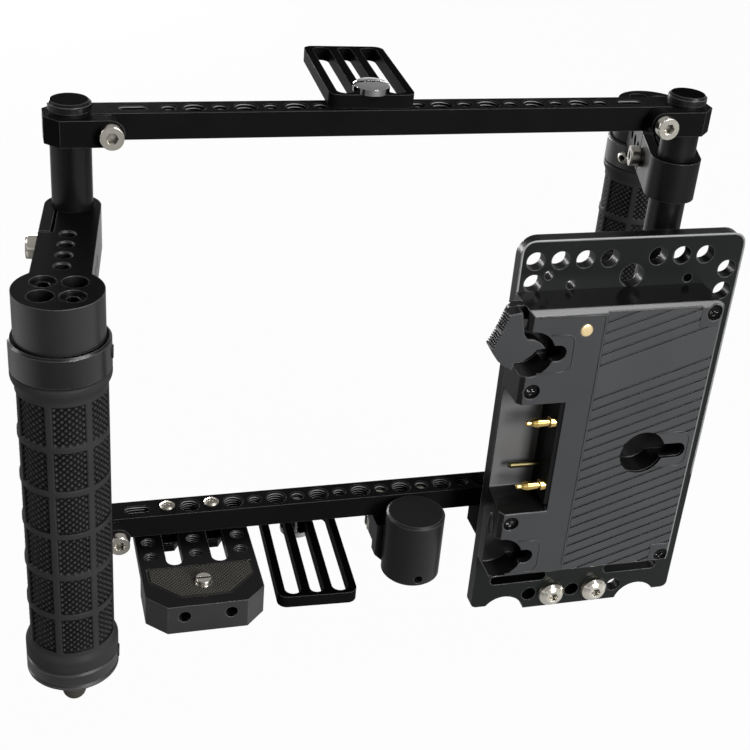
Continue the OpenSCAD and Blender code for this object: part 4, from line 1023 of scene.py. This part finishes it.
def white_floor():
    """White floor as a flat grid in x and y, below the frame's lowest slide; mirrors see pools of painted
    light on it.
    """
    line = np.linspace(-FLOOR_REACH, FLOOR_REACH, FLOOR_LINES)
    x, y = np.meshgrid(line, line)
    level = CAD_BOX[0][2] + lowest_slide() - FLOOR_GAP
    points = np.stack([x, y, np.full_like(x, level)], axis=-1)
    f = Finish("white_floor")
    pool = 0
    for middle_x, middle_y, reach in LIT_FLOOR:
        off_x = (f.axis(0) - middle_x) / reach
        off_y = (f.axis(1) - middle_y) / reach
        pool = (1 - off_x * off_x - off_y * off_y).clip().most(pool)
    seen = f.seen(UNLIT + (1 - UNLIT) * pool)
    paint = f.node("ShaderNodeBsdfDiffuse", sockets={"Color": grey(FLOOR_PAINT)})
    glow = f.node("ShaderNodeEmission", sockets={"Color": grey(1.0), "Strength": 1.0})
    floor = surface("floor", points, f.close(f.blend(seen * FLOOR_WHITE, paint, glow)))


def room():
    """White room to the camera, darker overhead to mirrors, and a faint light on the object."""
    f = Finish("studio", "worlds")
    rise = f.part(f.node("ShaderNodeTexCoord", out="Generated"), 2)
    overhead = ((rise - HORIZON) / HORIZON_FADE).clip()
    light = UNLIT + (1 - UNLIT) * f.seen(1 - OVERHEAD_DARKER * overhead)
    sky = f.node("ShaderNodeBackground", sockets={"Color": grey(1.0), "Strength": light})
    f.node("ShaderNodeOutputWorld", sockets={"Surface": sky})
    bpy.context.scene.world = f.owner


# Name, place, aim, width, height and watts: right front, above the front, left, and behind
LAMPS = (
    ("front_key", (0.45, -1.25, 0.50), (0.0, 0.0, 0.08), 0.4, 0.6, 20),
    ("top_box", (0.58, -0.60, 1.13), (0.08, 0.0, 0.08), 0.7, 0.25, 10),
    ("left_strip", (-1.2, 0.5, 0.4), (-0.05, 0.0, 0.08), 0.25, 0.9, 6),
    ("back_fill", (-0.35, 1.35, 0.14), (0.0, 0.0, 0.08), 0.9, 0.25, 24),
)


def lamp(name, place, aim, width, height, power):
    """Area lamp at a place, turned to a point."""
    data = bpy.data.lights.new(name, "AREA")
    data.shape = "RECTANGLE"
    data.size = width
    data.size_y = height
    data.energy = power
    back = np.array(place) - np.array(aim)
    back = back / np.linalg.norm(back)
    side = np.cross((0, 0, 1), back)
    side = side / np.linalg.norm(side)
    turn = np.eye(4)
    turn[:3] = np.stack([side, np.cross(back, side), back, place], axis=-1)
    obj = bpy.data.objects.new(name, data)
    obj.matrix_world = Matrix(turn.tolist())
    bpy.context.scene.collection.objects.link(obj)


CAMERA_PLACE = (-0.14865, -0.47870, 0.35666)
CAMERA_TURN = (60.094, -4.4975, -14.904)
FOCAL_PIXELS = 1360.96
FRAME_PIXELS = 750
SENSOR = 36.0
NEAREST = 0.01


def camera():
    """Camera at the photograph's place, angle and focal length."""
    data = bpy.data.cameras.new("camera")
    data.sensor_fit = "HORIZONTAL"
    data.sensor_width = SENSOR
    data.lens = FOCAL_PIXELS / FRAME_PIXELS * SENSOR
    data.clip_start = NEAREST
    obj = bpy.data.objects.new("camera", data)
    obj.location = CAMERA_PLACE
    obj.rotation_euler = [math.radians(angle) for angle in CAMERA_TURN]
    bpy.context.scene.collection.objects.link(obj)
    bpy.context.scene.camera = obj


# The whole scene

bpy.context.scene.view_settings.view_transform = "Standard"
camera()
white_floor()
room()
for settings in LAMPS:
    lamp(*settings)
dress_nodes()
for side in ("left", "right"):
    grip(side)
pad()
for side in ("left", "right"):
    end_stub(side)
collars()
button_head("right")
stud_thread()
beads()
side_oval()
gilt_stud()
